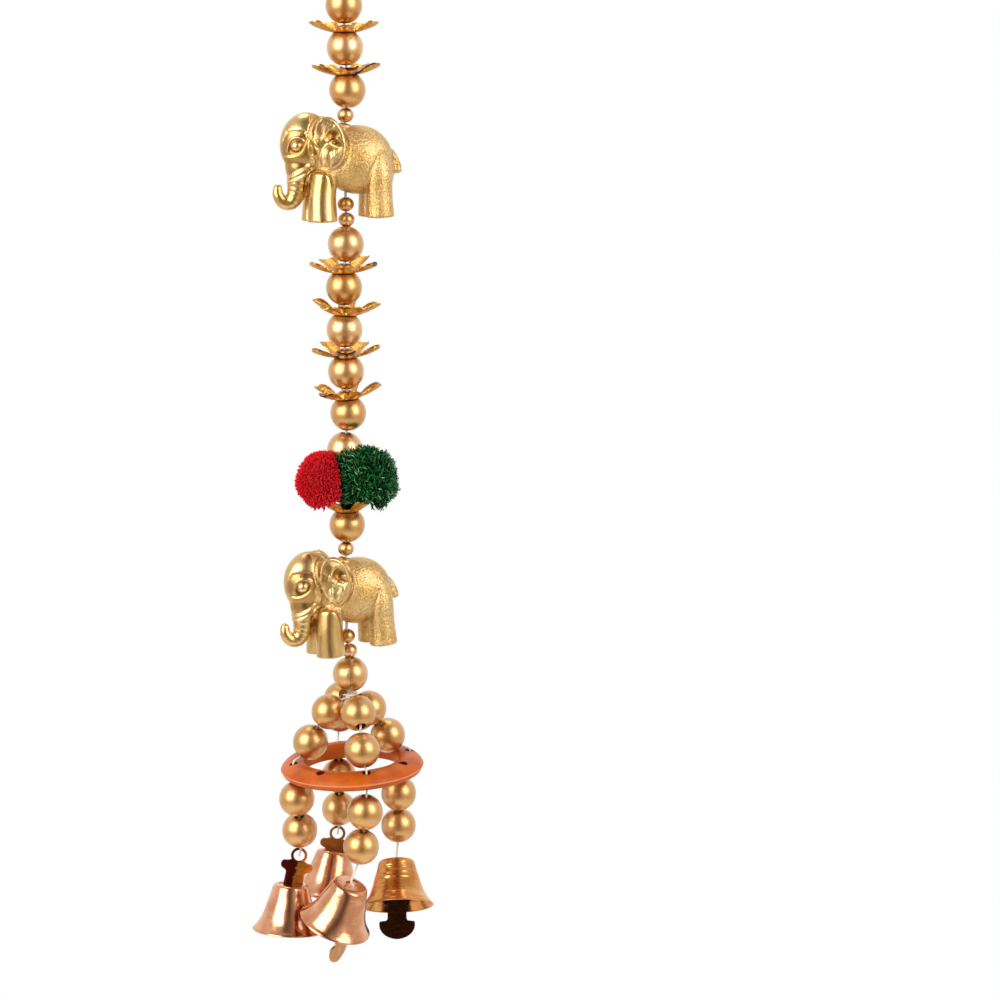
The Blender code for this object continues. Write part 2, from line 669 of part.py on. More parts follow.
def make_bells(finishes):
    """Each bell's origin is at its crown, where it rocks on its strip about the slot's length."""
    body = bell_mesh()
    slot, slot_hole = slot_cutters()
    strip = strip_mesh()
    eyelet = mesh_of("eyelet", *swept_tube([Vector((0, -3, 0)), Vector((0, 3, 0))], EYELET_R, 8))
    for bell in BELLS:
        shell = piece(f"{bell.name}_bell", body, finishes["copper_sheet"], bell_place(bell))
        for what, cutter in (("slot", slot), ("slot_hole", slot_hole)):
            boolean(shell, helper(f"{bell.name}_{what}", cutter, bell_place(bell)), "DIFFERENCE")
        plate = piece(f"{bell.name}_strip", strip, finishes["tarnished_strip"], strip_place(bell))
        boolean(plate, helper(f"{bell.name}_eyelet", eyelet, strip_place(bell)), "DIFFERENCE")


def main():
    for obj in list(bpy.data.objects):
        bpy.data.objects.remove(obj, do_unlink=True)
    finishes = make_finishes()
    make_main_thread(finishes)
    make_string_beads(finishes)
    make_caps(finishes)
    make_elephants(finishes)
    make_pompoms(finishes)
    make_ring(finishes)
    make_strands(finishes)
    make_bells(finishes)


main()
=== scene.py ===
"""Looks for the door hanging: a string of gilt beads, flower caps, elephants, pompoms and bells.

Lengths are millimetres in the tables and metres in the meshes. +Z is up, -Y faces the viewer, and
the origin is the top of the hanging loop. Each piece replaces the plain solid of the same part.
"""

import math
from collections import namedtuple

import bmesh
import bpy
import numpy as np
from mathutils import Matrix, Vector


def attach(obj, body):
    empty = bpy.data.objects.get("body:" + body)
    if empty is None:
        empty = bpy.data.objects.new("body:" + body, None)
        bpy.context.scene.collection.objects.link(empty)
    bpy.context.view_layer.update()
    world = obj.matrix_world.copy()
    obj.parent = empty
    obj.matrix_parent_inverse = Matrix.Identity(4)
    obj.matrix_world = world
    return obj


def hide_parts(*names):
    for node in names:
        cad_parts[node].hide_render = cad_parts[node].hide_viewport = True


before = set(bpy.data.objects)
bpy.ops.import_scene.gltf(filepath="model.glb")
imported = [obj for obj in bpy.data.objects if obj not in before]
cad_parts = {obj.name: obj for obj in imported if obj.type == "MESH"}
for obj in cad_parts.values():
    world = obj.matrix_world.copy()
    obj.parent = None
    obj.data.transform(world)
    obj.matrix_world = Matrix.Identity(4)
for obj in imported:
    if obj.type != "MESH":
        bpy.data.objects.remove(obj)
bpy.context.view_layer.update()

bl_info = {
    "name": "Bell Door Hanging",
    "version": (1, 0, 0),
    "blender": (4, 5, 0),
    "location": "3D View > Sidebar > Hanging",
    "description": "Builds a festive door hanging of gilt beads, elephants, pompoms and bells",
    "category": "Add Mesh",
}

MM = 0.001
ROOT = "string"


# The string, from the loop down

Place = namedtuple("Place", "name kind drop side")
STRING = (
    Place("top_knot", "knot", 19.2, -0.1),
    Place("bead_01", "bead", 27.0, -0.2),
    Place("bead_02", "bead", 40.5, 0.0),
    Place("bead_03", "bead", 54.2, 0.7),
    Place("small_bead_1", "small", 62.35, 0.0),
    Place("elephant_upper", "elephant", 79.6, -0.2),
    Place("small_bead_2", "small", 91.4, -0.2),
    Place("small_bead_3", "small", 96.45, 0.0),
    Place("bead_04", "bead", 104.5, -0.3),
    Place("bead_05", "bead", 118.8, -1.0),
    Place("bead_06", "bead", 132.8, -1.0),
    Place("bead_07", "bead", 146.8, -0.6),
    Place("bead_08", "bead", 160.7, 0.0),
    Place("bead_09", "bead", 173.05, -1.2),
    Place("bead_10", "bead", 198.5, -0.7),
    Place("small_bead_4", "small", 206.7, -1.2),
    Place("elephant_lower", "elephant", 224.2, -1.2),
    Place("small_bead_5", "small", 236.7, -1.1),
    Place("small_bead_6", "small", 241.75, -0.4),
    Place("bead_11", "bead", 249.9, -0.1),
    Place("bottom_knot", "knot", 257.6, -0.1),
)
CENTRE = {p.name: np.array((p.side, 0.0, -p.drop)) for p in STRING}

# Flower caps on the bead below: turn, petals' rise and lean in degrees, hub height, where the gilding is worn
Cap = namedtuple("Cap", "name bead turn rise lean_side lean_front hub_top worn_angle worn")
CAPS = (
    Cap("cap_1", "bead_02", 54, 15, 0.5, -2.0, 7.15, 0, 0.0),
    Cap("cap_2", "bead_03", 60, 15, 2.5, -1.5, 7.35, -60, 0.8),
    Cap("cap_3", "bead_05", 52, 20, 1.0, 1.0, 7.9, 0, 0.6),
    Cap("cap_4", "bead_06", 88, 23, -3.5, 0.0, 7.6, -50, 0.3),
    Cap("cap_5", "bead_07", 56, 19, 1.0, 1.5, 7.6, -95, 1.0),
    Cap("cap_6", "bead_08", 82, 22, 3.5, 1.0, 7.5, -140, 0.5),
    Cap("cap_7", "bead_10", 18, 33, 0.5, 2.5, 7.4, 0, 0.0),
)

PETALS = 5
PETAL_TURN = 360 / PETALS
# Half a petal's outline from its valley to its tip: along the petal from the cap's middle, and across it
PETAL_SIDE = ((4.05, 2.94), (4.9, 2.42), (6.6, 2.75), (8.5, 3.15), (10.3, 2.85), (11.3, 1.75), (11.6, 0.0))
CAP_SEAT_R = 6.35  # the ball that the cap's underside follows round the bead
CAP_SEAT_REACH = 4.1
CAP_HOLE_R = 1.35

# Elephants: turned toward the viewer about the thread, and nose down, in degrees
Elephant = namedtuple("Elephant", "node body turn nose_down")
ELEPHANTS = (
    Elephant("elephant_upper", "upper_elephant", 8.0, 3.0),
    Elephant("elephant_lower", "lower_elephant", 20.0, 6.5),
)

# Pompoms: centre, radius, and the side of the wall between them; the wall is where x + 0.44 y + 8 = 0
Pompom = namedtuple("Pompom", "name x y drop radius side")
POMPOMS = (
    Pompom("pompom_green", 5.8, -2.6, 183.4, 12.1, 1),
    Pompom("pompom_red", -8.0, -3.4, 183.3, 10.7, -1),
)
WALL = (1.0, 0.44, 8.0)
# Bulges of the yarn: toward (x, y, z) it stands out by this share of the radius
Bulge = namedtuple("Bulge", "name x y z share")
BULGES = (
    Bulge("pompom_green", -0.58, -0.42, 0.70, 0.26),
    Bulge("pompom_green", 0.15, -0.80, -0.58, 0.10),
    Bulge("pompom_green", 0.97, -0.10, 0.20, -0.10),
    Bulge("pompom_green", 0.72, -0.10, -0.69, -0.12),
    Bulge("pompom_green", 0.00, -0.60, -0.80, 0.12),
    Bulge("pompom_red", 0.28, -0.72, -0.64, 0.12),
    Bulge("pompom_red", -0.75, -0.15, -0.65, -0.10),
    Bulge("pompom_red", 0.55, -0.45, -0.70, 0.14),
    Bulge("pompom_red", -0.95, -0.20, 0.40, -0.13),
    Bulge("pompom_red", 0.35, -0.55, 0.76, 0.07),
)
# (radius, height) over bead_10 of the room that its cap takes out of the yarn
CAP_ROOM = ((0.0, 7.4), (4.5, 7.4), (12.6, 10.3))

# The thread's way between the pompoms: its x, and from and to where it runs
CHANNEL_X = -1.0
CHANNEL_Z = (-168.0, -184.0, -200.0)
# How far the yarn and its core keep off the wall, off bead_09's centre and off the thread
Clear = namedtuple("Clear", "wall bead thread")
YARN_CLEAR = Clear(0.1, 6.4, 0.8)
CORE_CLEAR = Clear(0.15, 6.5, 0.9)

# Four strands: the angle of the ring's hole, and each bead's centre
Strand = namedtuple("Strand", "name hole_angle beads")
STRANDS = (
    Strand("left", 193.7, (
        (-7.4, -3.0, -262.2), (-13.8, -2.5, -272.8), (-18.6, -6.5, -291.4), (-17.8, -3.2, -303.4))),
    Strand("front", 283.7, (
        (2.3, -10.5, -261.0), (3.6, -16.5, -272.3), (4.4, -19.6, -292.8), (3.0, -18.5, -305.1))),
    Strand("right", 13.7, (
        (6.1, 1.3, -262.2), (12.5, 5.4, -272.8), (16.1, 3.5, -292.8), (16.0, 6.0, -304.9))),
    Strand("back", 103.7, (
        (-3.3, 9.6, -260.8), (-3.9, 20.1, -269.0), (-4.4, 19.7, -290.6), (-4.5, 21.0, -302.9))),
)

RING_CENTRE = np.array((0.25, 0.0, -281.6))
RING_LEAN_SIDE = 2.0
RING_LEAN_FRONT = 1.5
RING_HOLES = 8
RING_HOLE_R = 1.4
RING_HOLE_CIRCLE_R = 20.2
RING_EDGE_R = 23.9
RING_OUTLINE = ((16.0, 1.8), (16.7, 2.6), (18.2, 2.9), (20.4, 2.8), (22.4, 2.0), (23.7, 0.8), (24.15, 0.0),
                (24.35, -0.4), (24.1, -0.65), (23.9, -1.3), (23.2, -2.3), (21.4, -2.8), (18.0, -2.6),
                (16.6, -2.2), (16.0, -1.4), (15.9, 0.0))

# Bells: crown point, slot direction, leans of strip and bell along and across the slot in degrees, how far
# the strip's eyelet is above the crown, and how far the strip is off the slot's middle
Bell = namedtuple("Bell", "name crown slot_turn strip_along strip_across bell_along bell_across seat slide")
BELLS = (
    Bell("left", (-21.0, -1.5, -322.8), 0.0, -13.0, -4.0, -4.0, -6.0, 10.0, 0.6),
    Bell("front", (-0.6, -20.0, -317.6), 62.0, 0.0, 12.0, 0.0, 22.8, -3.9, 0.0),
    Bell("right", (15.2, 5.5, -317.2), 0.0, 0.0, 0.0, 1.0, -28.8, -3.9, 0.1),
    Bell("back", (-6.2, 22.0, -318.4), 0.0, -10.0, -4.0, -10.0, -12.0, 6.2, 0.0),
)
SLOT_HALF_LENGTH = 4.1
SLOT_HALF_WIDTH = 0.9
EYELET_R = 1.9
STRIP_THICKNESS = 0.7


# Array helpers

def linear(code):
    """A hex sRGB colour as linear red, green and blue."""
    parts = (int(code[i:i + 2], 16) / 255 for i in (1, 3, 5))
    return tuple(c / 12.92 if c <= 0.04045 else ((c + 0.055) / 1.055) ** 2.4 for c in parts)


def opaque(colour):
    """A hex code or a linear colour, with alpha 1."""
    return (*(linear(colour) if isinstance(colour, str) else colour), 1)


def per_mm(size):
    """The scale of a pattern on Object coordinates whose marks are this many millimetres across."""
    return 1 / (size * MM)


def unit(vector):
    """The vector, or each row of an array of them, at length 1."""
    vector = np.asarray(vector, float)
    return vector / np.linalg.norm(vector, axis=-1, keepdims=True)


def turn_about(axis, degrees):
    """The 3 x 3 turn about X, Y or Z."""
    c, s = math.cos(math.radians(degrees)), math.sin(math.radians(degrees))
    i, j = {"X": (1, 2), "Y": (2, 0), "Z": (0, 1)}[axis]
    matrix = np.eye(3)
    matrix[i, i] = matrix[j, j] = c
    matrix[i, j], matrix[j, i] = -s, s
    return matrix


def pose(centre, up, across=(1.0, 0.0, 0.0)):
    """(turn, centre) that puts local Z on up and local X as near to across as that allows."""
    z = unit(up)
    x = unit(np.asarray(across, float) - z * np.dot(across, z))
    return np.stack((x, np.cross(z, x), z), axis=1), np.asarray(centre, float)


def placed(points, place):
    """Points in a piece's own coordinates, put in its place."""
    turn, centre = place
    return points @ turn.T + centre


def smooth_path(marks, per_span=8):
    """Catmull-Rom: between marks b and c, half of (2b + (c-a)t + (2a-5b+4c-d)t2 + (3b-a-3c+d)t3)."""
    marks = np.asarray(marks, float)
    ends = np.vstack((2 * marks[0] - marks[1], marks, 2 * marks[-1] - marks[-2]))
    a, b, c, d = (ends[i:len(ends) - 3 + i, None, :] for i in range(4))
    t = np.linspace(0, 1, per_span, endpoint=False)[None, :, None]
    spans = 0.5 * (2 * b + (c - a) * t + (2 * a - 5 * b + 4 * c - d) * t**2 + (3 * b - a - 3 * c + d) * t**3)
    return np.vstack((spans.reshape(-1, marks.shape[1]), marks[-1:]))


def grid(points, wrap_u=False, wrap_v=False):
    """(points, quads) of a grid of points of shape (U, V, 3), joined to itself where it wraps."""
    rows, columns = points.shape[:2]
    index = np.arange(rows * columns).reshape(rows, columns)
    if wrap_u:
        index = np.vstack((index, index[:1]))
    if wrap_v:
        index = np.hstack((index, index[:, :1]))
    quads = np.stack((index[:-1, :-1], index[1:, :-1], index[1:, 1:], index[:-1, 1:]), axis=-1)
    return points.reshape(-1, 3), quads.reshape(-1, 4)


def joined(parts):
    """One (points, quads) from several."""
    starts = np.cumsum([0] + [len(p) for p, _ in parts[:-1]])
    return np.vstack([p for p, _ in parts]), np.vstack([q + s for (_, q), s in zip(parts, starts)])


def turned(outline, segments):
    """A closed outline of (radius, height) turned about Z: (r cos a, r sin a, z)."""
    outline = np.asarray(outline, float)
    a = np.linspace(0, 2 * np.pi, segments, endpoint=False)[:, None]
    r, z = outline[None, :, 0], outline[None, :, 1]
    return grid(np.stack((r * np.cos(a), r * np.sin(a), z + 0 * a), axis=-1), wrap_u=True, wrap_v=True)


def rounded(outline, per_span):
    """A closed outline made softer, through the same points."""
    points = np.asarray(outline, float)
    around = np.vstack((points[-1:], points, points[:2]))
    return smooth_path(around, per_span)[per_span:-per_span - 1]


def frames_along(path):
    """Two unit vectors across each point of a path, both square to its direction.

    The first is the direction crossed with the axis that the path runs along least.
    """
    along = unit(np.gradient(path, axis=0))
    axes = unit(np.array(((1, 0, 0), (0, 1, 0), (0, 0, 1), (1, 1, 0), (1, -1, 0))))
    axis = axes[np.argmin(np.abs(along @ axes.T).max(axis=0))]
    across = unit(np.cross(along, axis))
    return across, np.cross(along, across)


def tube(path, radius, sides=10):
    """A circle of the given radius carried along the path: p + r (cos a, sin a) across it.

    The ends shrink to a point over one extra station, so the tube is closed.
    """
    path = np.asarray(path, float)
    radius = np.broadcast_to(np.asarray(radius, float), (len(path),))
    across, beside = frames_along(path)
    first = path[0] - unit(path[1] - path[0]) * radius[0] * 0.5
    last = path[-1] + unit(path[-1] - path[-2]) * radius[-1] * 0.5
    path = np.vstack((first, path, last))
    across = np.vstack((across[:1], across, across[-1:]))
    beside = np.vstack((beside[:1], beside, beside[-1:]))
    radius = np.concatenate(((0.0,), radius, (0.0,)))
    a = np.linspace(0, 2 * np.pi, sides, endpoint=False)[None, :, None]
    ring = across[:, None] * np.cos(a) + beside[:, None] * np.sin(a)
    return grid(path[:, None] + ring * radius[:, None, None], wrap_v=True)


def ball(centre, radii, turn=None, u=32, v=20):
    """An ellipsoid: centre + (rx sin t cos a, ry sin t sin a, rz cos t), turned by a 3 x 3 matrix."""
    a = np.linspace(0, 2 * np.pi, u, endpoint=False)[:, None]
    t = np.linspace(0, np.pi, v)[None, :]
    points = np.stack((np.sin(t) * np.cos(a), np.sin(t) * np.sin(a), np.cos(t) + 0 * a), axis=-1) * radii
    if turn is not None:
        points = points @ turn.T
    return grid(points + np.asarray(centre, float), wrap_u=True)


def block(half_x, half_y, half_z, place):
    """A closed box with the given half-sides: its outline at four stations, a point at each end."""
    outline = np.array(((1, -1), (-1, -1), (-1, 1), (1, 1)), float) * (half_x, half_y)
    stations = ((0, half_z), (1, half_z), (1, -half_z), (0, -half_z))
    points = np.array([np.column_stack((outline * share, np.full(4, z))) for share, z in stations])
    return grid(placed(points, place), wrap_v=True)


# Pieces

def make_mesh(name, part, attributes=None, weld=True):
    """A mesh from points in millimetres and quads; poles are welded and faces turned outwards."""
    points, quads = part
    mesh = bpy.data.meshes.new(name)
    mesh.from_pydata(points * MM, [], quads)
    for key, values in (attributes or {}).items():
        kind = "FLOAT_VECTOR" if values.ndim == 2 else "FLOAT"
        field = mesh.attributes.new(key, kind, "POINT")
        field.data.foreach_set("vector" if values.ndim == 2 else "value", values.ravel())
    if weld:
        form = bmesh.new()
        form.from_mesh(mesh)
        bmesh.ops.remove_doubles(form, verts=form.verts, dist=1e-7)
        bmesh.ops.dissolve_degenerate(form, edges=form.edges, dist=1e-8)
        bmesh.ops.recalc_face_normals(form, faces=form.faces)
        form.to_mesh(mesh)
        form.free()
    return mesh


def add_piece(name, mesh, material, node=None, body=ROOT, sharp=35):
    """Puts the mesh in the scene as a piece of the object, standing for the solid node."""
    mesh.materials.append(material)
    mesh.shade_smooth()
    mesh.set_sharp_from_angle(angle=math.radians(sharp))
    obj = bpy.data.objects.new(name, mesh)
    bpy.context.scene.collection.objects.link(obj)
    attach(obj, body)
    if node:
        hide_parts(node)
    return obj


def baked(obj):
    """The object's mesh with its modifiers applied, in place of the old one."""
    graph = bpy.context.evaluated_depsgraph_get()
    old = obj.data
    obj.data = bpy.data.meshes.new_from_object(obj.evaluated_get(graph))
    obj.modifiers.clear()
    bpy.data.meshes.remove(old)
    return obj.data


def cut(obj, part, name):
    """Cuts a closed shape out of the object's mesh for good."""
    cutter = bpy.data.objects.new(name, make_mesh(name, part))
    bpy.context.scene.collection.objects.link(cutter)
    modifier = obj.modifiers.new(name, "BOOLEAN")
    modifier.operation = "DIFFERENCE"
    modifier.solver = "EXACT"
    modifier.object = cutter
    mesh = baked(obj)
    bpy.data.objects.remove(cutter, do_unlink=True)
    return mesh


# Materials

def plug(tree, node, inputs):
    """Sets a node's inputs, each to a value or from another node's output."""
    for key, value in inputs.items():
        if isinstance(value, bpy.types.NodeSocket):
            tree.links.new(value, node.inputs[key])
        else:
            node.inputs[key].default_value = value


def add(tree, kind, inputs, output=0, **settings):
    """Adds a node with its inputs and settings, and returns one of its outputs."""
    node = tree.nodes.new("ShaderNode" + kind)
    for key, value in settings.items():
        setattr(node, key, value)
    plug(tree, node, inputs)
    return node.outputs[output]


def new_finish(name, values):
    """A material with the values set on its Principled shader; returns it, its tree and the shader."""
    material = bpy.data.materials.new(name)
    material.use_nodes = True
    tree = material.node_tree
    shader = tree.nodes["Principled BSDF"]
    plug(tree, shader, values)
    return material, tree, shader


def gilt_acrylic(colours):
    """Vacuum-gilt acrylic ball, lacquered: broad soft highlights, a faint mould line, pin holes in the gilding."""
    material, tree, shader = new_finish("vacuum_gilt_acrylic", {
        "Metallic": 1.0, "Roughness": 0.36, "Coat Weight": 0.6, "Coat Roughness": 0.25})
    place = add(tree, "TexCoord", {}, "Object")
    tone = add(tree, "Attribute", {}, "Fac", attribute_name="tone")
    marked = add(tree, "Attribute", {}, "Fac", attribute_name="marked")
    base = add(tree, "Mix", {0: tone, 6: opaque(colours.bead), 7: opaque(colours.bead_deep)}, 2, data_type="RGBA")
    # Clouds in the gilding about 5 mm across
    cloud = add(tree, "TexNoise", {"Vector": place, "Scale": per_mm(5.0), "Detail": 3.0}, "Fac")
    cloud = add(tree, "MapRange", {"Value": cloud, "From Min": 0.35, "From Max": 0.75})
    base = add(tree, "Mix", {0: cloud, 6: base, 7: opaque(colours.bead_deep)}, 2, data_type="RGBA")
    # Pin holes are about 0.1 mm across; drawn at 0.3 mm, 0.75 mm apart, so that they show
    pits = add(tree, "TexNoise", {"Vector": place, "Scale": per_mm(0.75), "Detail": 1.0}, "Fac")
    pits = add(tree, "MapRange", {"Value": pits, "From Min": 0.735, "From Max": 0.76})
    pits = add(tree, "Math", {0: pits, 1: marked}, operation="MULTIPLY")
    base = add(tree, "Mix", {0: pits, 6: base, 7: opaque("#4A2A12")}, 2, data_type="RGBA")
    # The mould line runs round the ball where the bead's own x is 0
    local = add(tree, "Attribute", {}, "Vector", attribute_name="local")
    off = add(tree, "SeparateXYZ", {"Vector": local}, "X")
    off = add(tree, "Math", {0: off}, operation="ABSOLUTE")
    seam = add(tree, "MapRange", {"Value": off, "From Min": 0.06, "From Max": 0.2, "To Min": 1.0, "To Max": 0.0})
    seam = add(tree, "Math", {0: seam, 1: marked}, operation="MULTIPLY")
    base = add(tree, "Mix", {0: seam, 6: base, 7: opaque("#BE9450")}, 2, data_type="RGBA")
    grain = add(tree, "TexNoise", {"Vector": place, "Scale": per_mm(0.5), "Detail": 2.0}, "Fac")
    height = add(tree, "Math", {0: seam, 1: 0.7, 2: grain}, operation="MULTIPLY_ADD")
    relief = add(tree, "Bump", {"Height": height, "Distance": 0.018 * MM, "Strength": 1.0})
    plug(tree, shader, {"Base Color": base, "Normal": relief})
    return material


def gold_sprayed_resin(colours):
    """Gold spray on moulded resin, lacquered: sandy on the body, smooth on the head; painted shade in sunk relief,
    painted highlight on raised relief.
    """
    material, tree, shader = new_finish("gold_sprayed_resin", {
        "Metallic": 1.0, "Coat Weight": 0.4, "Coat Roughness": 0.28})
    place = add(tree, "TexCoord", {}, "Object")
    grain = add(tree, "Attribute", {}, "Fac", attribute_name="grain")
    relief = add(tree, "Attribute", {}, "Fac", attribute_name="relief")
    cloud = add(tree, "TexNoise", {"Vector": place, "Scale": per_mm(7.0), "Detail": 3.0}, "Fac")
    cloud = add(tree, "MapRange", {"Value": cloud, "From Min": 0.35, "From Max": 0.7})
    base = add(tree, "Mix", {0: cloud, 6: opaque(colours.elephant), 7: opaque(colours.elephant_deep)}, 2,
               data_type="RGBA")
    # Painted shade: where the relief is sunk, the spray is mixed toward dark brown.
    painted_hollow_shade = add(tree, "MapRange", {
        "Value": relief, "From Min": 0.10, "From Max": 0.47, "To Min": 1.0, "To Max": 0.0})
    base = add(tree, "Mix", {0: painted_hollow_shade, 6: base, 7: opaque("#94601E")}, 2, data_type="RGBA")
    # Painted highlight: where the relief is raised, the spray is mixed toward pale gold.
    edge = add(tree, "MapRange", {"Value": relief, "From Min": 0.56, "From Max": 0.9})
    base = add(tree, "Mix", {0: edge, 6: base, 7: opaque("#F6DDA8")}, 2, data_type="RGBA")
    # Sand in the mould is about 0.4 mm across; drawn at 0.65 mm so that it shows
    sand = add(tree, "TexNoise", {"Vector": place, "Scale": per_mm(0.65), "Detail": 2.0, "Roughness": 0.6}, "Fac")
    height = add(tree, "Math", {0: sand, 1: grain}, operation="MULTIPLY")
    height = add(tree, "Bump", {"Height": height, "Distance": 0.34 * MM, "Strength": 1.0})
    speck = add(tree, "MapRange", {"Value": sand, "From Min": 0.34, "From Max": 0.50, "To Min": 1.0, "To Max": 0.0})
    speck = add(tree, "Math", {0: speck, 1: grain}, operation="MULTIPLY")
    base = add(tree, "Mix", {0: speck, 6: base, 7: opaque("#BE9450")}, 2, data_type="RGBA")
    rough = add(tree, "MapRange", {"Value": grain, "To Min": 0.27, "To Max": 0.40})
    plug(tree, shader, {"Base Color": base, "Roughness": rough, "Normal": height})
    return material


def stamped_gilt_sheet(colours):
    """Gilt stamped sheet: hammered facets, the gilding worn to dark maroon at some edges."""
    material, tree, shader = new_finish("stamped_gilt_sheet", {"Metallic": 1.0, "Roughness": 0.30})
    place = add(tree, "TexCoord", {}, "Object")
    worn = add(tree, "Attribute", {}, "Fac", attribute_name="worn")
    dull = add(tree, "TexNoise", {"Vector": place, "Scale": per_mm(2.4), "Detail": 3.0}, "Fac")
    dull = add(tree, "MapRange", {"Value": dull, "From Min": 0.35, "From Max": 0.7})
    base = add(tree, "Mix", {0: dull, 6: opaque(colours.cap), 7: opaque(colours.cap_deep)}, 2, data_type="RGBA")
    patch = add(tree, "TexNoise", {"Vector": place, "Scale": per_mm(1.6), "Detail": 3.0, "Roughness": 0.6}, "Fac")
    bare = add(tree, "Math", {0: patch, 1: 0.5, 2: worn}, operation="MULTIPLY_ADD")
    bare = add(tree, "MapRange", {"Value": bare, "From Min": 0.70, "From Max": 0.95})
    base = add(tree, "Mix", {0: bare, 6: base, 7: opaque("#3A1626")}, 2, data_type="RGBA")
    # Hammer facets about 0.8 mm across
    facets = add(tree, "TexVoronoi", {"Vector": place, "Scale": per_mm(0.8)}, "Distance")
    relief = add(tree, "Bump", {"Height": facets, "Distance": 0.09 * MM, "Strength": 1.0})
    plug(tree, shader, {"Base Color": base, "Normal": relief})
    return material


def spun_brass(name, base_colour, deep_colour, roughness, line_mm, depth_mm):
    """Spun thin brass, bright from the lathe, with turning lines line_mm apart and a little uneven tarnish."""
    material, tree, shader = new_finish(name, {"Metallic": 1.0, "Roughness": roughness})
    place = add(tree, "TexCoord", {}, "Object")
    tarnish = add(tree, "TexNoise", {"Vector": place, "Scale": per_mm(6.0), "Detail": 4.0}, "Fac")
    tarnish = add(tree, "MapRange", {"Value": tarnish, "From Min": 0.35, "From Max": 0.72})
    base = add(tree, "Mix", {0: tarnish, 6: opaque(base_colour), 7: opaque(deep_colour)}, 2, data_type="RGBA")
    spots = add(tree, "TexNoise", {"Vector": place, "Scale": per_mm(0.9), "Detail": 2.0}, "Fac")
    spots = add(tree, "MapRange", {"Value": spots, "From Min": 0.68, "From Max": 0.76})
    base = add(tree, "Mix", {0: spots, 6: base, 7: opaque("#8A4A22")}, 2, data_type="RGBA")
    local = add(tree, "Attribute", {}, "Vector", attribute_name="local")
    lines = add(tree, "Mapping", {"Vector": local, "Scale": (0.03, 0.03, 1 / line_mm)})
    lines = add(tree, "TexNoise", {"Vector": lines, "Scale": 1.0, "Detail": 2.0}, "Fac")
    # Dents 5 mm across and 0.18 mm deep, in units of the lines' depth
    dents = add(tree, "TexNoise", {"Vector": place, "Scale": per_mm(5.0), "Detail": 1.0}, "Fac")
    height = add(tree, "Math", {0: dents, 1: 0.18 / depth_mm, 2: lines}, operation="MULTIPLY_ADD")
    relief = add(tree, "Bump", {"Height": height, "Distance": depth_mm * MM, "Strength": 1.0})
    plug(tree, shader, {"Base Color": base, "Normal": relief})
    return material


def tarnished_strip(name, dark, bright):
    """Stamped copper strip, dark in part and rubbed bright in part."""
    material, tree, shader = new_finish(name, {"Metallic": 1.0, "Roughness": 0.36})
    place = add(tree, "TexCoord", {}, "Object")
    side = add(tree, "Attribute", {}, "Fac", attribute_name="bright")
    patch = add(tree, "TexNoise", {"Vector": place, "Scale": per_mm(1.8), "Detail": 4.0, "Roughness": 0.6}, "Fac")
    rubbed = add(tree, "Math", {0: patch, 1: side}, operation="ADD")
    rubbed = add(tree, "MapRange", {"Value": rubbed, "From Min": 0.88, "From Max": 1.0})
    base = add(tree, "Mix", {0: rubbed, 6: opaque(dark), 7: opaque(bright)}, 2, data_type="RGBA")
    dents = add(tree, "TexNoise", {"Vector": place, "Scale": per_mm(1.6), "Detail": 3.0}, "Fac")
    relief = add(tree, "Bump", {"Height": dents, "Distance": 0.30 * MM, "Strength": 1.0})
    plug(tree, shader, {"Base Color": base, "Normal": relief})
    return material


def orange_polythene(colours):
    """Moulded orange polythene, satin from use, with flow marks, a pale parting edge and painted shade in its
    holes.
    """
    material, tree, shader = new_finish("moulded_orange_polythene", {
        "Roughness": 0.36, "IOR": 1.51, "Specular IOR Level": 0.22})
    place = add(tree, "TexCoord", {}, "Object")
    flow = add(tree, "TexNoise", {"Vector": place, "Scale": per_mm(8.0), "Detail": 4.0}, "Fac")
    flow = add(tree, "MapRange", {"Value": flow, "From Min": 0.3, "From Max": 0.75})
    base = add(tree, "Mix", {0: flow, 6: opaque(colours.ring), 7: opaque(colours.ring_deep)}, 2, data_type="RGBA")
    # The holes' walls and rims are mixed toward dark brown: painted shade.
    for key, code in (("ridge", "#EFA070"), ("hole", "#5E1406")):
        where = add(tree, "Attribute", {}, "Fac", attribute_name=key)
        base = add(tree, "Mix", {0: where, 6: base, 7: opaque(code)}, 2, data_type="RGBA")
    grain = add(tree, "TexNoise", {"Vector": place, "Scale": per_mm(0.7), "Detail": 3.0}, "Fac")
    relief = add(tree, "Bump", {"Height": grain, "Distance": 0.03 * MM, "Strength": 1.0})
    plug(tree, shader, {"Base Color": base, "Normal": relief})
    return material


def yarn(name, deep, tip, roughness, sheen):
    """Cut yarn: dark at the roots where the light is lost, brighter at the tips, with a fibre sheen and pale
    painted glints on some tips.
    """
    material, tree, shader = new_finish(name, {
        "Roughness": roughness, "Sheen Weight": sheen, "Sheen Roughness": 0.4, "Sheen Tint": opaque(tip)})
    along = add(tree, "Attribute", {}, "Fac", attribute_name="along")
    tone = add(tree, "Attribute", {}, "Fac", attribute_name="tone")
    spark = add(tree, "Attribute", {}, "Fac", attribute_name="spark")
    level = add(tree, "Math", {0: along, 1: tone}, operation="MULTIPLY")
    base = add(tree, "Mix", {0: level, 6: opaque(deep), 7: opaque(tip)}, 2, data_type="RGBA")
    # Painted glints: some strands' tips are mixed toward pale green.
    base = add(tree, "Mix", {0: spark, 6: base, 7: opaque("#8CC48E")}, 2, data_type="RGBA")
    plug(tree, shader, {"Base Color": base})
    return material


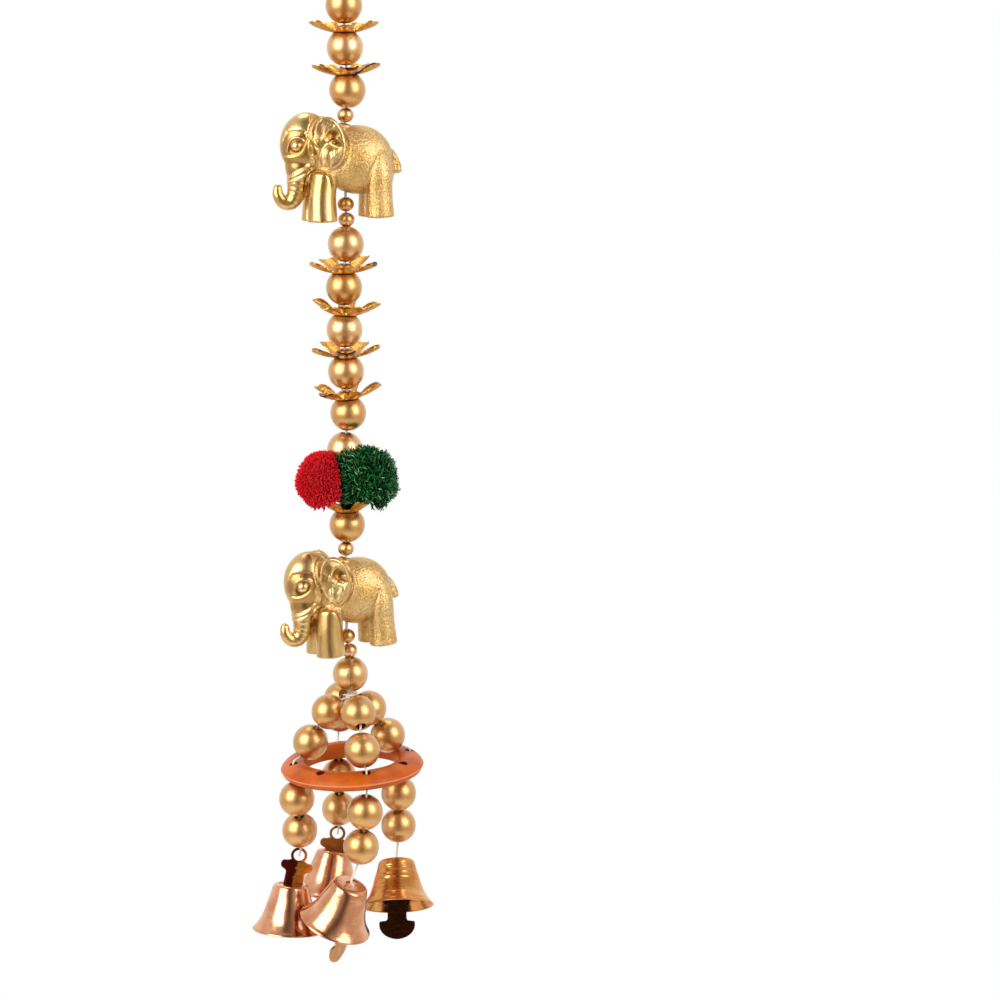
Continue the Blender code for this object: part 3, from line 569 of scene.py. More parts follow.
def nylon_thread():
    """Twisted clear nylon: milky, a little see-through, with a fine lay."""
    material, tree, shader = new_finish("twisted_nylon", {
        "Base Color": opaque("#EDEAE2"), "Roughness": 0.32, "IOR": 1.53, "Transmission Weight": 0.15})
    place = add(tree, "TexCoord", {}, "Object")
    lay = add(tree, "TexWave", {"Vector": place, "Scale": per_mm(3.0)}, "Fac", bands_direction="DIAGONAL")
    relief = add(tree, "Bump", {"Height": lay, "Distance": 0.06 * MM, "Strength": 1.0})
    plug(tree, shader, {"Normal": relief})
    return material


# Sizes and colours that a user may change

def colour(name, description, code):
    """A colour that a user may change, given as a hex code."""
    return bpy.props.FloatVectorProperty(
        name=name, description=description, subtype="COLOR", size=3, min=0, max=1, default=linear(code))


def length(name, description, metres):
    """A length that a user may change."""
    return bpy.props.FloatProperty(
        name=name, description=description, unit="LENGTH", default=metres, min=0, precision=5)


class HangingSizes(bpy.types.PropertyGroup):
    """Sizes of the repeated pieces"""
    bead_radius: length("Bead radius", "Radius of the round beads", 0.006)
    bead_bore: length("Bead hole radius", "Radius of the hole through a bead", 0.0017)
    thread_radius: length("Thread radius", "Radius of the nylon thread", 0.00045)
    petal_tip: length("Petal reach", "How far a petal's tip is from the cap's middle", 0.0116)
    sheet: length("Cap sheet", "Thickness of the stamped sheet", 0.00045)
    skin: length("Elephant detail", "Size of the smallest form kept on the elephants", 0.0003)
    red_tufts: bpy.props.IntProperty(name="Red tufts", description="Tufts of yarn in the red pompom", default=1900)
    green_tufts: bpy.props.IntProperty(name="Green tufts", description="Tufts in the green pompom", default=640)


class HangingColours(bpy.types.PropertyGroup):
    """Colours of the finishes"""
    bead: colour("Bead", "Gilding of the beads", "#EDC79A")
    bead_deep: colour("Bead, deep", "Gilding where it is thicker", "#D2A05E")
    cap: colour("Cap", "Gilt sheet", "#DCA956")
    cap_deep: colour("Cap, deep", "Gilt sheet where it is dull", "#BC8234")
    elephant: colour("Elephant", "Gold spray", "#E0C389")
    elephant_deep: colour("Elephant, deep", "Gold spray in the shade", "#D2AA60")
    bell: colour("Bell", "Rose brass", "#EDB491")
    bell_deep: colour("Bell, deep", "Rose brass, tarnished", "#CC8A5C")
    orange_bell: colour("Orange bell", "Yellower brass", "#E4A862")
    orange_bell_deep: colour("Orange bell, deep", "Yellower brass, tarnished", "#C47A3A")
    ring: colour("Ring", "Orange polythene", "#CC6210")
    ring_deep: colour("Ring, deep", "Orange polythene, deeper", "#A0430A")
    red: colour("Red yarn", "Tips of the red yarn", "#F00A24")
    red_deep: colour("Red yarn, deep", "Roots of the red yarn", "#A80016")
    green: colour("Green yarn", "Tips of the green yarn", "#118236")
    green_deep: colour("Green yarn, deep", "Roots of the green yarn", "#01180A")


def sizes():
    """The sizes set in the scene."""
    return bpy.context.scene.hanging_sizes


def colours():
    """The colours set in the scene."""
    return bpy.context.scene.hanging_colours


# Geometry of the pieces

# Small bead: radius, half height, radius of the hole
SMALL_BEAD = (2.72, 2.42, 1.0)
# How much of the mould line and of the pin holes shows, where that isn't the usual share
STRING_MARKS = {"bead_11": 1.0, "bead_08": 0.9, "bead_09": 0.8, "bead_03": 0.4}
STRAND_MARKS = {"left_bead_2": 1.0, "left_bead_4": 1.0, "right_bead_4": 1.0}
KNOT_R = 1.15  # the middle line of its outer turn
STRAND_THREAD = 0.8  # share of the main thread's radius


def bead_part(radius, half_height, bore):
    """A ball with a hole: outline (r sin t, h cos t) between the hole's rims, whose edges are eased."""
    start = math.asin(bore / radius)
    t = np.linspace(start + 0.03, math.pi - start - 0.03, 34)
    outer = np.stack((radius * np.sin(t), half_height * np.cos(t)), axis=1)
    rim = half_height * math.cos(start)
    z = np.linspace(-rim + 0.25, rim - 0.25, 5)
    inner = np.stack((np.full(5, bore), z), axis=1)
    return turned(np.vstack((outer, inner)), 56)


def add_bead(node, kind, place, tone, marked, material):
    """A bead in its place, with its own coordinates, its tone and how marked it is as attributes."""
    size = sizes()
    if kind == "bead":
        part = bead_part(size.bead_radius / MM, size.bead_radius / MM, size.bead_bore / MM)
    else:
        part = bead_part(*SMALL_BEAD)
    local, quads = part
    attributes = {"local": local, "tone": np.full(len(local), tone), "marked": np.full(len(local), marked)}
    add_piece(node.title(), make_mesh(node, (placed(local, place), quads), attributes), material, node)


def string_marks():
    """The main thread's way: each bead's and knot's centre, and straight through each elephant."""
    marks = []
    for place in STRING:
        if place.kind == "elephant":
            marks += [(place.side, 0, -place.drop + 12), (place.side, 0, -place.drop - 8)]
        else:
            marks.append((place.side, 0, -place.drop))
    return marks


def knot_part(centre, radius, thread):
    """Three turns of thread wound into a ball: a helix on the sphere, r sin t out and r cos t up."""
    t = np.linspace(0.18 * np.pi, 0.82 * np.pi, 60)
    a = t * 9
    path = np.stack((radius * np.sin(t) * np.cos(a), radius * np.sin(t) * np.sin(a), radius * np.cos(t)), axis=1)
    return tube(path + centre, thread, 8)


def ring_place():
    """The ring's turn and centre."""
    turn = turn_about("Y", -RING_LEAN_SIDE) @ turn_about("X", RING_LEAN_FRONT)
    return turn, RING_CENTRE


def ring_point(angle, height):
    """A point on the circle of the ring's holes, at a height over its middle plane."""
    a = math.radians(angle)
    point = np.array((RING_HOLE_CIRCLE_R * math.cos(a), RING_HOLE_CIRCLE_R * math.sin(a), height))
    return placed(point, ring_place())


def down_line(slot_turn, along, across):
    """The way down, leaned by the tangents of two angles along and across the slot, and the slot's direction."""
    a = math.radians(slot_turn)
    slot, beside = np.array((math.cos(a), math.sin(a), 0)), np.array((-math.sin(a), math.cos(a), 0))
    lean = np.array((0, 0, -1.0)) + slot * math.tan(math.radians(along)) + beside * math.tan(math.radians(across))
    return unit(lean), slot


def strip_place(bell):
    """The strip's turn and its eyelet's centre, with local X along the slot."""
    down, slot = down_line(bell.slot_turn, bell.strip_along, bell.strip_across)
    return pose(np.array(bell.crown) + slot * bell.slide - down * bell.seat, -down, slot)


def bell_place(bell):
    """The bell's turn and its crown's centre, with local X along the slot."""
    down, slot = down_line(bell.slot_turn, bell.bell_along, bell.bell_across)
    return pose(bell.crown, -down, slot)


def strand_axes(strand):
    """Each bead's centre on the strand and the direction of its hole, downwards."""
    bell = next(b for b in BELLS if b.name == strand.name)
    beads = [np.array(b) for b in strand.beads]
    hole = ring_point(strand.hole_angle, 0.0)
    stops = [CENTRE["bottom_knot"], *beads[:2], hole, *beads[2:], strip_place(bell)[1]]
    ways = [unit(stops[i] - stops[i - 1]) for i in range(1, len(stops))]
    return [(stops[i], unit(ways[i - 1] + ways[i])) for i in (1, 2, 4, 5)]


def strand_marks(strand):
    """The strand's way: from the knot through its beads and the ring's hole, and hooked into the eyelet."""
    knot = CENTRE["bottom_knot"]
    bell = next(b for b in BELLS if b.name == strand.name)
    reach = 5.0  # marks this far above and below a bead keep the thread straight inside it
    axes = strand_axes(strand)
    marks = [knot + unit(axes[0][0] - knot) * 1.2]
    for number, (centre, down) in enumerate(axes):
        marks += [centre - down * reach, centre, centre + down * reach]
        if number == 1:
            marks += [ring_point(strand.hole_angle, height) for height in (3.5, 0.4, -2.5)]
    top = [(0, 0, 5.4), (0, -0.8, 3.7)] if bell.seat < 0 else [(0, -1.15, 3.2)]
    hook = [*top, (0, -1.15, 2.2), (0, -1.15, 0.9), (0, -0.6, 0.1), (0, 0.9, -0.1)]
    return marks + [placed(np.array(p, float), strip_place(bell)) for p in hook]


def petal_edge(tip):
    """One petal's outline from valley to valley, as (angle, radius) from its middle line, and its hub angles."""
    side = smooth_path(np.array(PETAL_SIDE) * (tip / PETAL_SIDE[-1][0]), 4)
    outline = np.vstack((side, side[::-1][1:] * (1, -1)))[::-1][1:]
    angle = np.degrees(np.arctan2(outline[:, 1], outline[:, 0]))
    hub = np.linspace(-PETAL_TURN / 2, PETAL_TURN / 2, len(outline) + 1)[1:]
    return angle, np.hypot(outline[:, 0], outline[:, 1]), hub


def cap_part(cap, tip, sheet):
    """A stamped flower over the edge's columns and steps from its hole to its edge, top and bottom.

    The sheet follows the bead's ball to radius 4.1. Then it rises 0.66 k p + 0.022 p^2 at p beyond that, for
    a petal of slope k, and its sides are dished up by 0.13 q^2 at q from the petal's middle line. Veins of
    0.05 cos(7 q) and a rolled rim are pressed into it. Petals away from the viewer stand up to 6 degrees
    higher, and those toward the viewer up to 9 degrees lower.
    """
    offset, reach, hub = petal_edge(tip)
    petal = np.repeat(np.arange(PETALS), len(reach))[:, None]
    offset, reach, hub = (np.tile(column, PETALS)[:, None] for column in (offset, reach, hub))
    reach = reach * (1 + 0.018 * np.sin(petal * 5.1 + cap.turn))
    toward = np.sin(np.radians(cap.turn + PETAL_TURN * petal))
    lift = 6 * np.clip(toward, 0, 1) + 9 * np.clip(toward, -1, 0)
    rise = np.tan(np.radians(cap.rise + lift + 4 * np.sin(cap.turn + 2.4 * petal)))
    base_r = CAP_SEAT_REACH
    hub_steps = np.array((CAP_HOLE_R, 1.6, 2.0, 2.5, 3.1, 3.6, base_r))
    s = np.linspace(0, 1, 20)[None, 1:]
    r = np.hstack((np.repeat(hub_steps[None], len(reach), axis=0), base_r + (reach - base_r) * s))
    bend = np.clip((r - base_r) / (reach - base_r), 0, 1) ** 0.6
    offset = hub + (offset - hub) * bend
    angle = cap.turn + PETAL_TURN * petal + offset
    out = np.clip(r - base_r, 0, None)
    side = r * np.sin(np.radians(offset))
    floor = np.sqrt(CAP_SEAT_R**2 - np.minimum(r, base_r) ** 2)
    edge = reach - r
    fade = np.clip(out / 3.0, 0, 1)
    under = floor + rise * out * 0.66 + 0.022 * out**2 + 0.13 * side**2 * fade
    under += 0.05 * np.cos(side * 7.0) * fade * np.clip(edge / 1.0, 0, 1)
    under += 0.10 * np.exp(-((edge - 0.35) / 0.22) ** 2) * fade
    hub_top = cap.hub_top - 0.12
    dome = np.minimum(floor + sheet + np.clip((base_r - r) / 1.5, 0, 1) * (hub_top - 5.5) * 0.75, hub_top)
    above = np.where(r > base_r, under + sheet, dome)
    a = np.radians(angle)
    top = np.stack((r * np.cos(a), r * np.sin(a), above), axis=-1)
    bottom = np.stack((r * np.cos(a), r * np.sin(a), under), axis=-1)
    points, quads = grid(np.concatenate((top, bottom[:, ::-1]), axis=1), wrap_u=True, wrap_v=True)
    spread = np.exp(-(((angle - cap.worn_angle + 180) % 360 - 180) / 40) ** 2) * cap.worn
    worn = spread * np.clip(1.35 - edge / 2.2, 0, 1) + 0.22 * np.clip(1 - edge / 0.5, 0, 1)
    worn = np.concatenate((worn, worn[:, ::-1] + 0.25 * spread), axis=1).ravel()
    return points, quads, worn


# Elephants: u runs from head (-) to tail (+), v across, w up, from the thread's line

# A lump's centre, half-axes, and pitch in degrees; a limb's marks, and its radius at some of them
Lump = namedtuple("Lump", "what u v w ru rv rw pitch")
ELEPHANT_LUMPS = (
    Lump("barrel", 4.0, 0, 2.6, 12.0, 8.3, 11.3, 0),
    Lump("shoulder", -4.5, 0, 3.0, 6.5, 7.6, 9.5, 0),
    Lump("haunch", 9.6, 0, -1.0, 6.6, 7.4, 9.0, 0),
    Lump("head", -12.6, 0, 8.9, 8.5, 6.7, 10.1, 12),
    Lump("muzzle", -14.6, 0, 1.4, 5.3, 5.0, 6.2, 0),
)
Limb = namedtuple("Limb", "what marks radii")
ELEPHANT_LIMBS = (
    Limb("near_front_leg", ((-7.6, -4.0, -2), (-8.8, -4.2, -9), (-9.2, -4.2, -16.9)), (4.4, 4.6, 5.0)),
    Limb("far_front_leg", ((-8.2, 3.4, -2), (-10.3, 3.3, -9), (-11.2, 3.2, -16.9)), (4.0, 3.8, 4.0)),
    Limb("near_hind_leg", ((9.9, -4.0, -3), (10.0, -4.2, -10), (9.9, -4.2, -16.4)), (5.0, 4.5, 4.8)),
    Limb("far_hind_leg", ((9.0, 3.6, -3), (8.2, 3.5, -10), (7.8, 3.4, -16.4)), (4.6, 3.9, 4.1)),
    Limb("trunk", ((-14.6, 0, 3.0), (-15.7, 0, -2.3), (-16.6, 0, -6.9), (-18.5, 0, -9.9), (-21.1, 0, -9.9),
                   (-22.7, 0, -7.5), (-22.7, 0, -4.9)), (4.8, 3.9, 3.2, 2.6, 2.2, 1.9, 1.5)),
    Limb("tail", ((14.4, 0, 5.7), (16.2, 0, 3.2), (17.1, 0, 0.2), (17.3, 0, -2.2)), (1.0, 1.1, 1.4, 1.5)),
)
FOOT = -17.0  # the soles' height
EAR = Lump("ear", -5.6, 7.4, 8.9, 5.2, 1.4, 8.5, -6)

# Relief on both sides: lines raised (+) or cut (-) by a height, with a half-width, through points (u, w)
Line = namedtuple("Line", "what height width points")
RELIEF_LINES = (
    Line("lower_lid", 0.50, 0.38, (
        (-19.9, 4.9), (-18.3, 4.6), (-16.2, 5.2), (-14.4, 6.6), (-13.6, 8.4), (-13.7, 9.9))),
    Line("upper_lid", 0.32, 0.36, (
        (-19.5, 6.6), (-19.0, 8.7), (-17.9, 10.5), (-16.2, 11.1), (-14.6, 10.8), (-13.7, 9.9))),
    Line("halter_top", 0.42, 0.36, ((-20.6, -2.2), (-17.4, -1.3), (-14.6, 0.2), (-12.5, 1.9))),
    Line("halter_bottom", 0.34, 0.36, ((-20.3, -3.4), (-16.5, -2.5), (-13.4, -1.1), (-11.0, 0.4))),
    Line("halter_groove", -0.35, 0.30, ((-20.5, -2.8), (-17.0, -1.9), (-14.0, -0.5), (-11.8, 1.0))),
    Line("cheek_loop", 0.32, 0.36, (
        (-12.3, 1.4), (-12.4, 2.9), (-11.8, 4.6), (-10.8, 5.2), (-9.9, 4.2), (-9.8, 2.3), (-10.6, 0.7),
        (-11.7, 0.4), (-12.3, 1.4))),
    Line("ear_rim", 0.26, 0.55, (
        (-9.9, 8.1), (-10.9, 10.1), (-10.9, 12.7), (-9.6, 15.2), (-7.4, 16.5), (-4.8, 16.1), (-2.9, 14.2),
        (-1.5, 11.3), (-0.9, 8.1), (-1.3, 5.1), (-2.5, 2.8), (-4.5, 1.2), (-6.8, 0.4))),
    Line("ear_curl", 0.34, 0.42, ((-7.9, 10.2), (-7.2, 11.3), (-6.1, 12.6), (-4.4, 13.9))),
    Line("ear_fold", 0.36, 0.40, ((-7.0, 7.9), (-5.4, 9.2), (-2.7, 10.2))),
    Line("ear_edge", -0.42, 0.34, ((-10.2, 7.6), (-11.7, 9.6), (-11.8, 12.9), (-10.3, 16.0), (-7.6, 17.5))),
    Line("behind_ear", -0.38, 0.45, (
        (-6.2, 17.6), (-3.4, 16.7), (-1.2, 14.2), (0.0, 11.4), (0.5, 8.0), (0.1, 4.6), (-1.4, 1.8), (-3.9, -0.1))),
    Line("front_leg_top", -0.50, 0.50, (
        (-14.3, -9.0), (-13.9, -5.0), (-13.2, -2.0), (-11.9, -0.6), (-9.9, -0.1), (-7.4, -0.8), (-6.0, -2.6),
        (-5.2, -5.4))),
    Line("hind_leg_top", -0.40, 0.60, ((5.4, -8.4), (6.2, -4.4), (7.5, -0.4), (9.3, 3.1))),
    Line("front_leg_groove", -0.35, 0.35, ((-13.0, -9.0), (-13.4, -13.0), (-13.6, -16.9))),
    Line("lobe_gap", -0.30, 0.30, ((-6.9, 7.2), (-6.5, 4.8), (-6.0, 1.6))),
)
# Raised (+) or sunk (-) ovals: height, centre (u, w), half-axes, and lean in degrees
Dimple = namedtuple("Dimple", "what height u w ru rw lean")
RELIEF_DIMPLES = (
    Dimple("eye_socket", -0.55, -16.6, 8.0, 3.3, 3.3, 0),
    Dimple("eyeball", 1.45, -16.6, 8.2, 1.9, 1.9, 0),
    Dimple("ear_hollow", -1.15, -4.6, 11.1, 2.9, 3.2, 20),
    Dimple("ear_pocket", -0.70, -3.3, 8.6, 2.2, 1.3, -15),
    Dimple("lobe_1", 0.85, -7.8, 4.4, 1.25, 3.6, -6),
    Dimple("lobe_2", 0.70, -5.3, 4.2, 1.0, 2.7, -14),
    Dimple("lobe_3", 0.45, -3.5, 5.4, 0.8, 2.1, -28),
    Dimple("cheek_tuft", 0.55, -10.9, 2.9, 0.9, 2.0, 8),
    Dimple("ear_top", -0.35, -8.4, 13.4, 2.0, 2.4, 0),
)
# The face is sunk by FACE_DEPTH inside this outline, in (u, w)
FACE = ((-18.9, 13.2), (-16.5, 13.5), (-13.3, 12.9), (-12.5, 10.4), (-12.6, 6.6), (-11.9, 4.3), (-12.6, 2.3),
        (-16.0, 0.2), (-20.5, -1.6), (-21.3, 2.9), (-21.2, 8.2), (-20.1, 11.6))
FACE_DEPTH = 0.45
# Where the sand is rubbed smooth on the front legs: the outline of their top, carried down past the soles
FRONT_LEGS = ((-16, -18), *next(line.points for line in RELIEF_LINES if line.what == "front_leg_top"), (-3.5, -18))
# How sandy each part is, from 0 to 1
SAND = {"ear": 0.35, "smooth": 0.15, "body": 1.0}
BOSS = ((9.0, 3.4), (12.0, 3.0), (14.0, 2.7))  # (height, radius) of the boss on the back
ELEPHANT_HOLE_R = 1.3


def line_distance(points, marks):
    """The distance of each (u, w) point from a line through the marks, as the least over its short spans."""
    path = smooth_path(np.asarray(marks, float), 5)
    a, b = path[:-1], path[1:]
    span = b - a
    t = np.einsum("nkd,kd->nk", points[:, None] - a, span) / (span**2).sum(axis=1)
    nearest = a + np.clip(t, 0, 1)[..., None] * span
    return np.sqrt(((points[:, None] - nearest) ** 2).sum(axis=2)).min(axis=1)


def elephant_form():
    """The smooth lumps and limbs as closed shells, for a Remesh to join."""
    shells = []
    for lump in (*ELEPHANT_LUMPS, EAR, EAR._replace(v=-EAR.v)):
        radii = (lump.ru, lump.rv, lump.rw)
        shells.append(ball((lump.u, lump.v, lump.w), radii, turn_about("Y", lump.pitch), 48, 28))
    for limb in ELEPHANT_LIMBS:
        path = smooth_path(limb.marks, 8)
        radii = smooth_path(np.asarray(limb.radii, float)[:, None], 8)[:, 0]
        if limb.what == "trunk":
            # Rings round the trunk, and a blunt tip
            along = np.linspace(0, 1, len(path))
            radii = radii * (1 + 0.035 * np.sin(along * 2 * np.pi * 14) * ((along > 0.18) & (along < 0.6)))
            tip = path[-1] + np.array(((0.1, 0, 0.6), (0.15, 0, 1.0)))
            path, radii = np.vstack((path, tip)), np.concatenate((radii, (1.2, 0.6)))
        points, quads = tube(path, radii, 24)
        if limb.what.endswith("leg"):
            points[:, 2] = np.maximum(points[:, 2], FOOT)
            # A dome over the leg's top, higher behind, where it runs up into the haunch
            rise = 0.6 if "front" in limb.what else 2.0
            shells.append(ball(limb.marks[0], np.array((1, 1, rise)) * limb.radii[0], None, 32, 20))
        shells.append((points, quads))
    shells.append(tube([(0, 0, height) for height, _ in BOSS], [radius for _, radius in BOSS], 24))
    return joined(shells)


def inside(points, outline):
    """Whether each (u, w) point is within the outline: a line to the right crosses it an odd number of times."""
    a = np.asarray(outline, float)
    b = np.roll(a, -1, axis=0)
    u, w = points[:, :1], points[:, 1:]
    spans = (a[:, 1] > w) != (b[:, 1] > w)
    drop = np.where(a[:, 1] == b[:, 1], 1, b[:, 1] - a[:, 1])
    at = a[:, 0] + (w - a[:, 1]) * (b[:, 0] - a[:, 0]) / drop
    return (spans & (u < at)).sum(axis=1) % 2 == 1


def carve(points, normals):
    """Moves points along their normals by the relief of lines, dimples and face, and tells how raised they are.

    A line adds height exp(-(d / width)^2), and a dimple height (1 - q)^1.5 inside its ellipse, q < 1, or
    (1 - q)^0.7 for the rounder eyeball. The face's edge slopes down over 0.7 mm. All fade out where the
    surface turns away from the side that the relief is drawn on.
    """
    drawn = points[:, [0, 2]]
    side = np.clip((np.abs(normals[:, 1]) - 0.10) / 0.35, 0, 1) * (np.abs(points[:, 1]) > 0.8)
    on_ear = (np.abs(points[:, 1]) > 6.2) | (drawn[:, 0] < -9.5)
    lift = np.zeros(len(points))
    for line in RELIEF_LINES:
        marks = np.asarray(line.points)
        box = (drawn > marks.min(axis=0) - 2).all(axis=1) & (drawn < marks.max(axis=0) + 2).all(axis=1)
        box &= side > 0
        if line.what.startswith("ear") and line.what != "ear_edge":
            box &= on_ear
        index = np.flatnonzero(box)
        lift[index] += line.height * np.exp(-(line_distance(drawn[index], marks) / line.width) ** 2)
    for dimple in RELIEF_DIMPLES:
        c, s = math.cos(math.radians(dimple.lean)), math.sin(math.radians(dimple.lean))
        across, up = drawn[:, 0] - dimple.u, drawn[:, 1] - dimple.w
        q = ((across * c + up * s) / dimple.ru) ** 2 + ((up * c - across * s) / dimple.rw) ** 2
        lift += dimple.height * np.clip(1 - q, 0, None) ** (0.7 if dimple.what == "eyeball" else 1.5)
    index = np.flatnonzero((drawn[:, 0] < -11) & (drawn[:, 1] > -3) & (side > 0))
    loop = FACE + FACE[:1]
    away = line_distance(drawn[index], loop) * np.where(inside(drawn[index], FACE), 1, -1)
    lift[index] -= FACE_DEPTH * np.clip(0.5 + away / 0.7, 0, 1)
    lift *= side
    return points + normals * lift[:, None], lift


def add_elephant(elephant, material):
    """The remeshed form, carved with its relief, leaned nose down and turned about the thread."""
    node = elephant.node
    mesh = make_mesh(node, elephant_form())
    obj = add_piece(node.title(), mesh, material, node, elephant.body, 60)
    skin = obj.modifiers.new("one_skin", "REMESH")
    skin.mode = "VOXEL"
    skin.voxel_size = sizes().skin
    even = obj.modifiers.new("even", "SMOOTH")
    even.factor = 0.6
    even.iterations = 7
    mesh = baked(obj)
    count = len(mesh.vertices)
    points, normals = np.empty(count * 3), np.empty(count * 3)
    mesh.vertices.foreach_get("co", points)
    mesh.vertices.foreach_get("normal", normals)
    points, lift = carve(points.reshape(-1, 3) / MM, normals.reshape(-1, 3))
    drawn = points[:, [0, 2]]
    ear = np.hypot((drawn[:, 0] - EAR.u) / EAR.ru, (drawn[:, 1] - EAR.w) / EAR.rw) < 1
    # The head and trunk are smooth too
    smooth = inside(drawn, FRONT_LEGS) | (drawn[:, 0] < -11.5) & (drawn[:, 1] > -17)
    grain = np.where(ear, SAND["ear"], np.where(smooth, SAND["smooth"], SAND["body"]))
    turn = turn_about("Z", elephant.turn) @ turn_about("Y", -elephant.nose_down)
    points = points @ turn.T + CENTRE[node]
    mesh.vertices.foreach_set("co", (points * MM).ravel())
    for key, values in {"grain": grain, "relief": 0.5 + lift * 0.6}.items():
        mesh.attributes.new(key, "FLOAT", "POINT").data.foreach_set("value", values)
    mesh.update()
    hole = tube(CENTRE[node] + np.array(((0, 0, 30.0), (0, 0, 0.0), (0, 0, -30.0))), ELEPHANT_HOLE_R, 24)
    cut(obj, hole, f"{node}_hole")
    obj.data.shade_smooth()


# Pompoms

# A kind of yarn: strands to a tuft, how far they spread from it, how uneven the tufts are, the strands'
# standing length, radius and bend, the darkest tone, the share with painted glints at the tips, and how deep the
# core is
Yarn = namedtuple("Yarn", "tufts per_tuft spread uneven length radius bend dark sparks core_depth seed")


def yarn_room(points, side):
    """Whether points are on this pompom's side and clear of the beads, thread and cap that press into it."""
    free = side * (points[..., 0] * WALL[0] + points[..., 1] * WALL[1] + WALL[2]) > YARN_CLEAR.wall
    free &= np.linalg.norm(points - CENTRE["bead_09"], axis=-1) > YARN_CLEAR.bead
    free &= np.hypot(points[..., 0] - CHANNEL_X, points[..., 1]) > YARN_CLEAR.thread
    below = CENTRE["bead_10"]
    flat = np.hypot(points[..., 0] - below[0], points[..., 1] - below[1])
    return free & ((flat > CAP_ROOM[-1][0]) | (points[..., 2] - below[2] > np.interp(flat, *zip(*CAP_ROOM))))


def tip_reach(centre, ways, longest, length, side):
    """How far out each strand's tip is: all the way if its outer length is clear, or else to the first stop."""
    steps = np.linspace(0, 1, 60)[None, :] * longest[:, None]
    free = yarn_room(centre + ways[:, None] * steps[..., None], side)
    first = np.where(free.all(axis=1), 59, np.argmin(free, axis=1) - 1)
    outer = (free | (steps < (longest - length)[:, None])).all(axis=1)
    return np.where(outer, longest, steps[np.arange(len(steps)), np.clip(first, 0, None)])


def spread_directions(count):
    """Even directions: z = 1 - (2i + 1)/n, turning by the golden angle from one to the next."""
    i = np.arange(count)
    z = 1 - (2 * i + 1) / count
    a = i * math.pi * (3 - math.sqrt(5))
    r = np.sqrt(1 - z**2)
    return np.stack((r * np.cos(a), r * np.sin(a), z), axis=1)


def strands_part(starts, ends, bends, radius):
    """Many thin strands at once: start + (end - start) t + bend sin(pi t) / 4, radius r (1 - 0.35 t^3).

    Each is three-sided over five stations, and the last station is drawn in almost to a point.
    """
    sides, stations = 3, 5
    t = np.linspace(0, 1, stations)[None, :, None]
    path = starts[:, None] + (ends - starts)[:, None] * t + bends[:, None] * np.sin(np.pi * t) * 0.25
    along = unit(ends - starts)
    helper = np.where(np.abs(along[:, 2:3]) > 0.8, np.array((1.0, 0, 0)), np.array((0, 0, 1.0)))
    across = unit(np.cross(along, helper))
    beside = np.cross(along, across)
    a = np.linspace(0, 2 * np.pi, sides, endpoint=False)
    ring = across[:, None] * np.cos(a)[:, None] + beside[:, None] * np.sin(a)[:, None]
    taper = radius[:, None] * (1 - 0.35 * t[..., 0] ** 3)
    taper[:, -1] *= 0.15
    points = path[:, :, None] + ring[:, None] * taper[:, :, None, None]
    count = len(starts)
    index = np.arange(count * stations * sides).reshape(count, stations, sides)
    index = np.concatenate((index, index[:, :, :1]), axis=2)
    quads = np.stack((index[:, :-1, :-1], index[:, 1:, :-1], index[:, 1:, 1:], index[:, :-1, 1:]), axis=-1)
    tip_along = np.broadcast_to(t, (count, stations, 1))
    return points.reshape(-1, 3), quads.reshape(-1, 4), np.repeat(tip_along.reshape(-1), sides)


def bulged(pompom, ways):
    """How far the yarn stands out in each direction: 1 + share exp(-9 (1 - cos)) summed over the bulges."""
    reach = np.ones(len(ways))
    for bulge in (b for b in BULGES if b.name == pompom.name):
        toward = unit(np.array((bulge.x, bulge.y, bulge.z)))
        reach += bulge.share * np.exp(-9 * (1 - ways @ toward))
    return reach


def add_core(pompom, material, depth):
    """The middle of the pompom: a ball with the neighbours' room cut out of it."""
    centre = np.array((pompom.x, pompom.y, -pompom.drop))
    name = f"{pompom.name}_core"
    points, quads = ball((0, 0, 0), (1.0,) * 3, None, 64, 40)
    points = centre + points * (np.minimum(bulged(pompom, points), 1) * (pompom.radius - depth))[:, None]
    # The core has no along attribute, so it takes the yarn's dark root colour: painted shade between the strands.
    obj = add_piece(name.title(), make_mesh(name, (points, quads)), material, sharp=80)
    cut(obj, ball(CENTRE["bead_09"], (CORE_CLEAR.bead,) * 3), f"{name}_bead")
    outline = ((0.01, CAP_ROOM[0][1]), *CAP_ROOM[1:], (CAP_ROOM[-1][0], -9.0), (0.01, -9.0))
    points, quads = turned(outline, 48)
    cut(obj, (points + CENTRE["bead_10"], quads), f"{name}_cap")
    lean = math.hypot(WALL[0], WALL[1])
    across = np.array((WALL[0], WALL[1], 0)) / lean
    # The block's near face is the wall, and its middle is half its depth beyond it
    half = 20
    middle = across * (-WALL[2] / lean + pompom.side * (CORE_CLEAR.wall - half)) + np.array((0, 0, -pompom.drop))
    cut(obj, block(half, 25, 25, pose(middle, (0, 0, 1), across)), f"{name}_wall")
    if pompom.side > 0:
        channel = [(CHANNEL_X, 0, z) for z in CHANNEL_Z]
        cut(obj, tube(channel, CORE_CLEAR.thread, 16), f"{name}_channel")
    obj.data.shade_smooth()


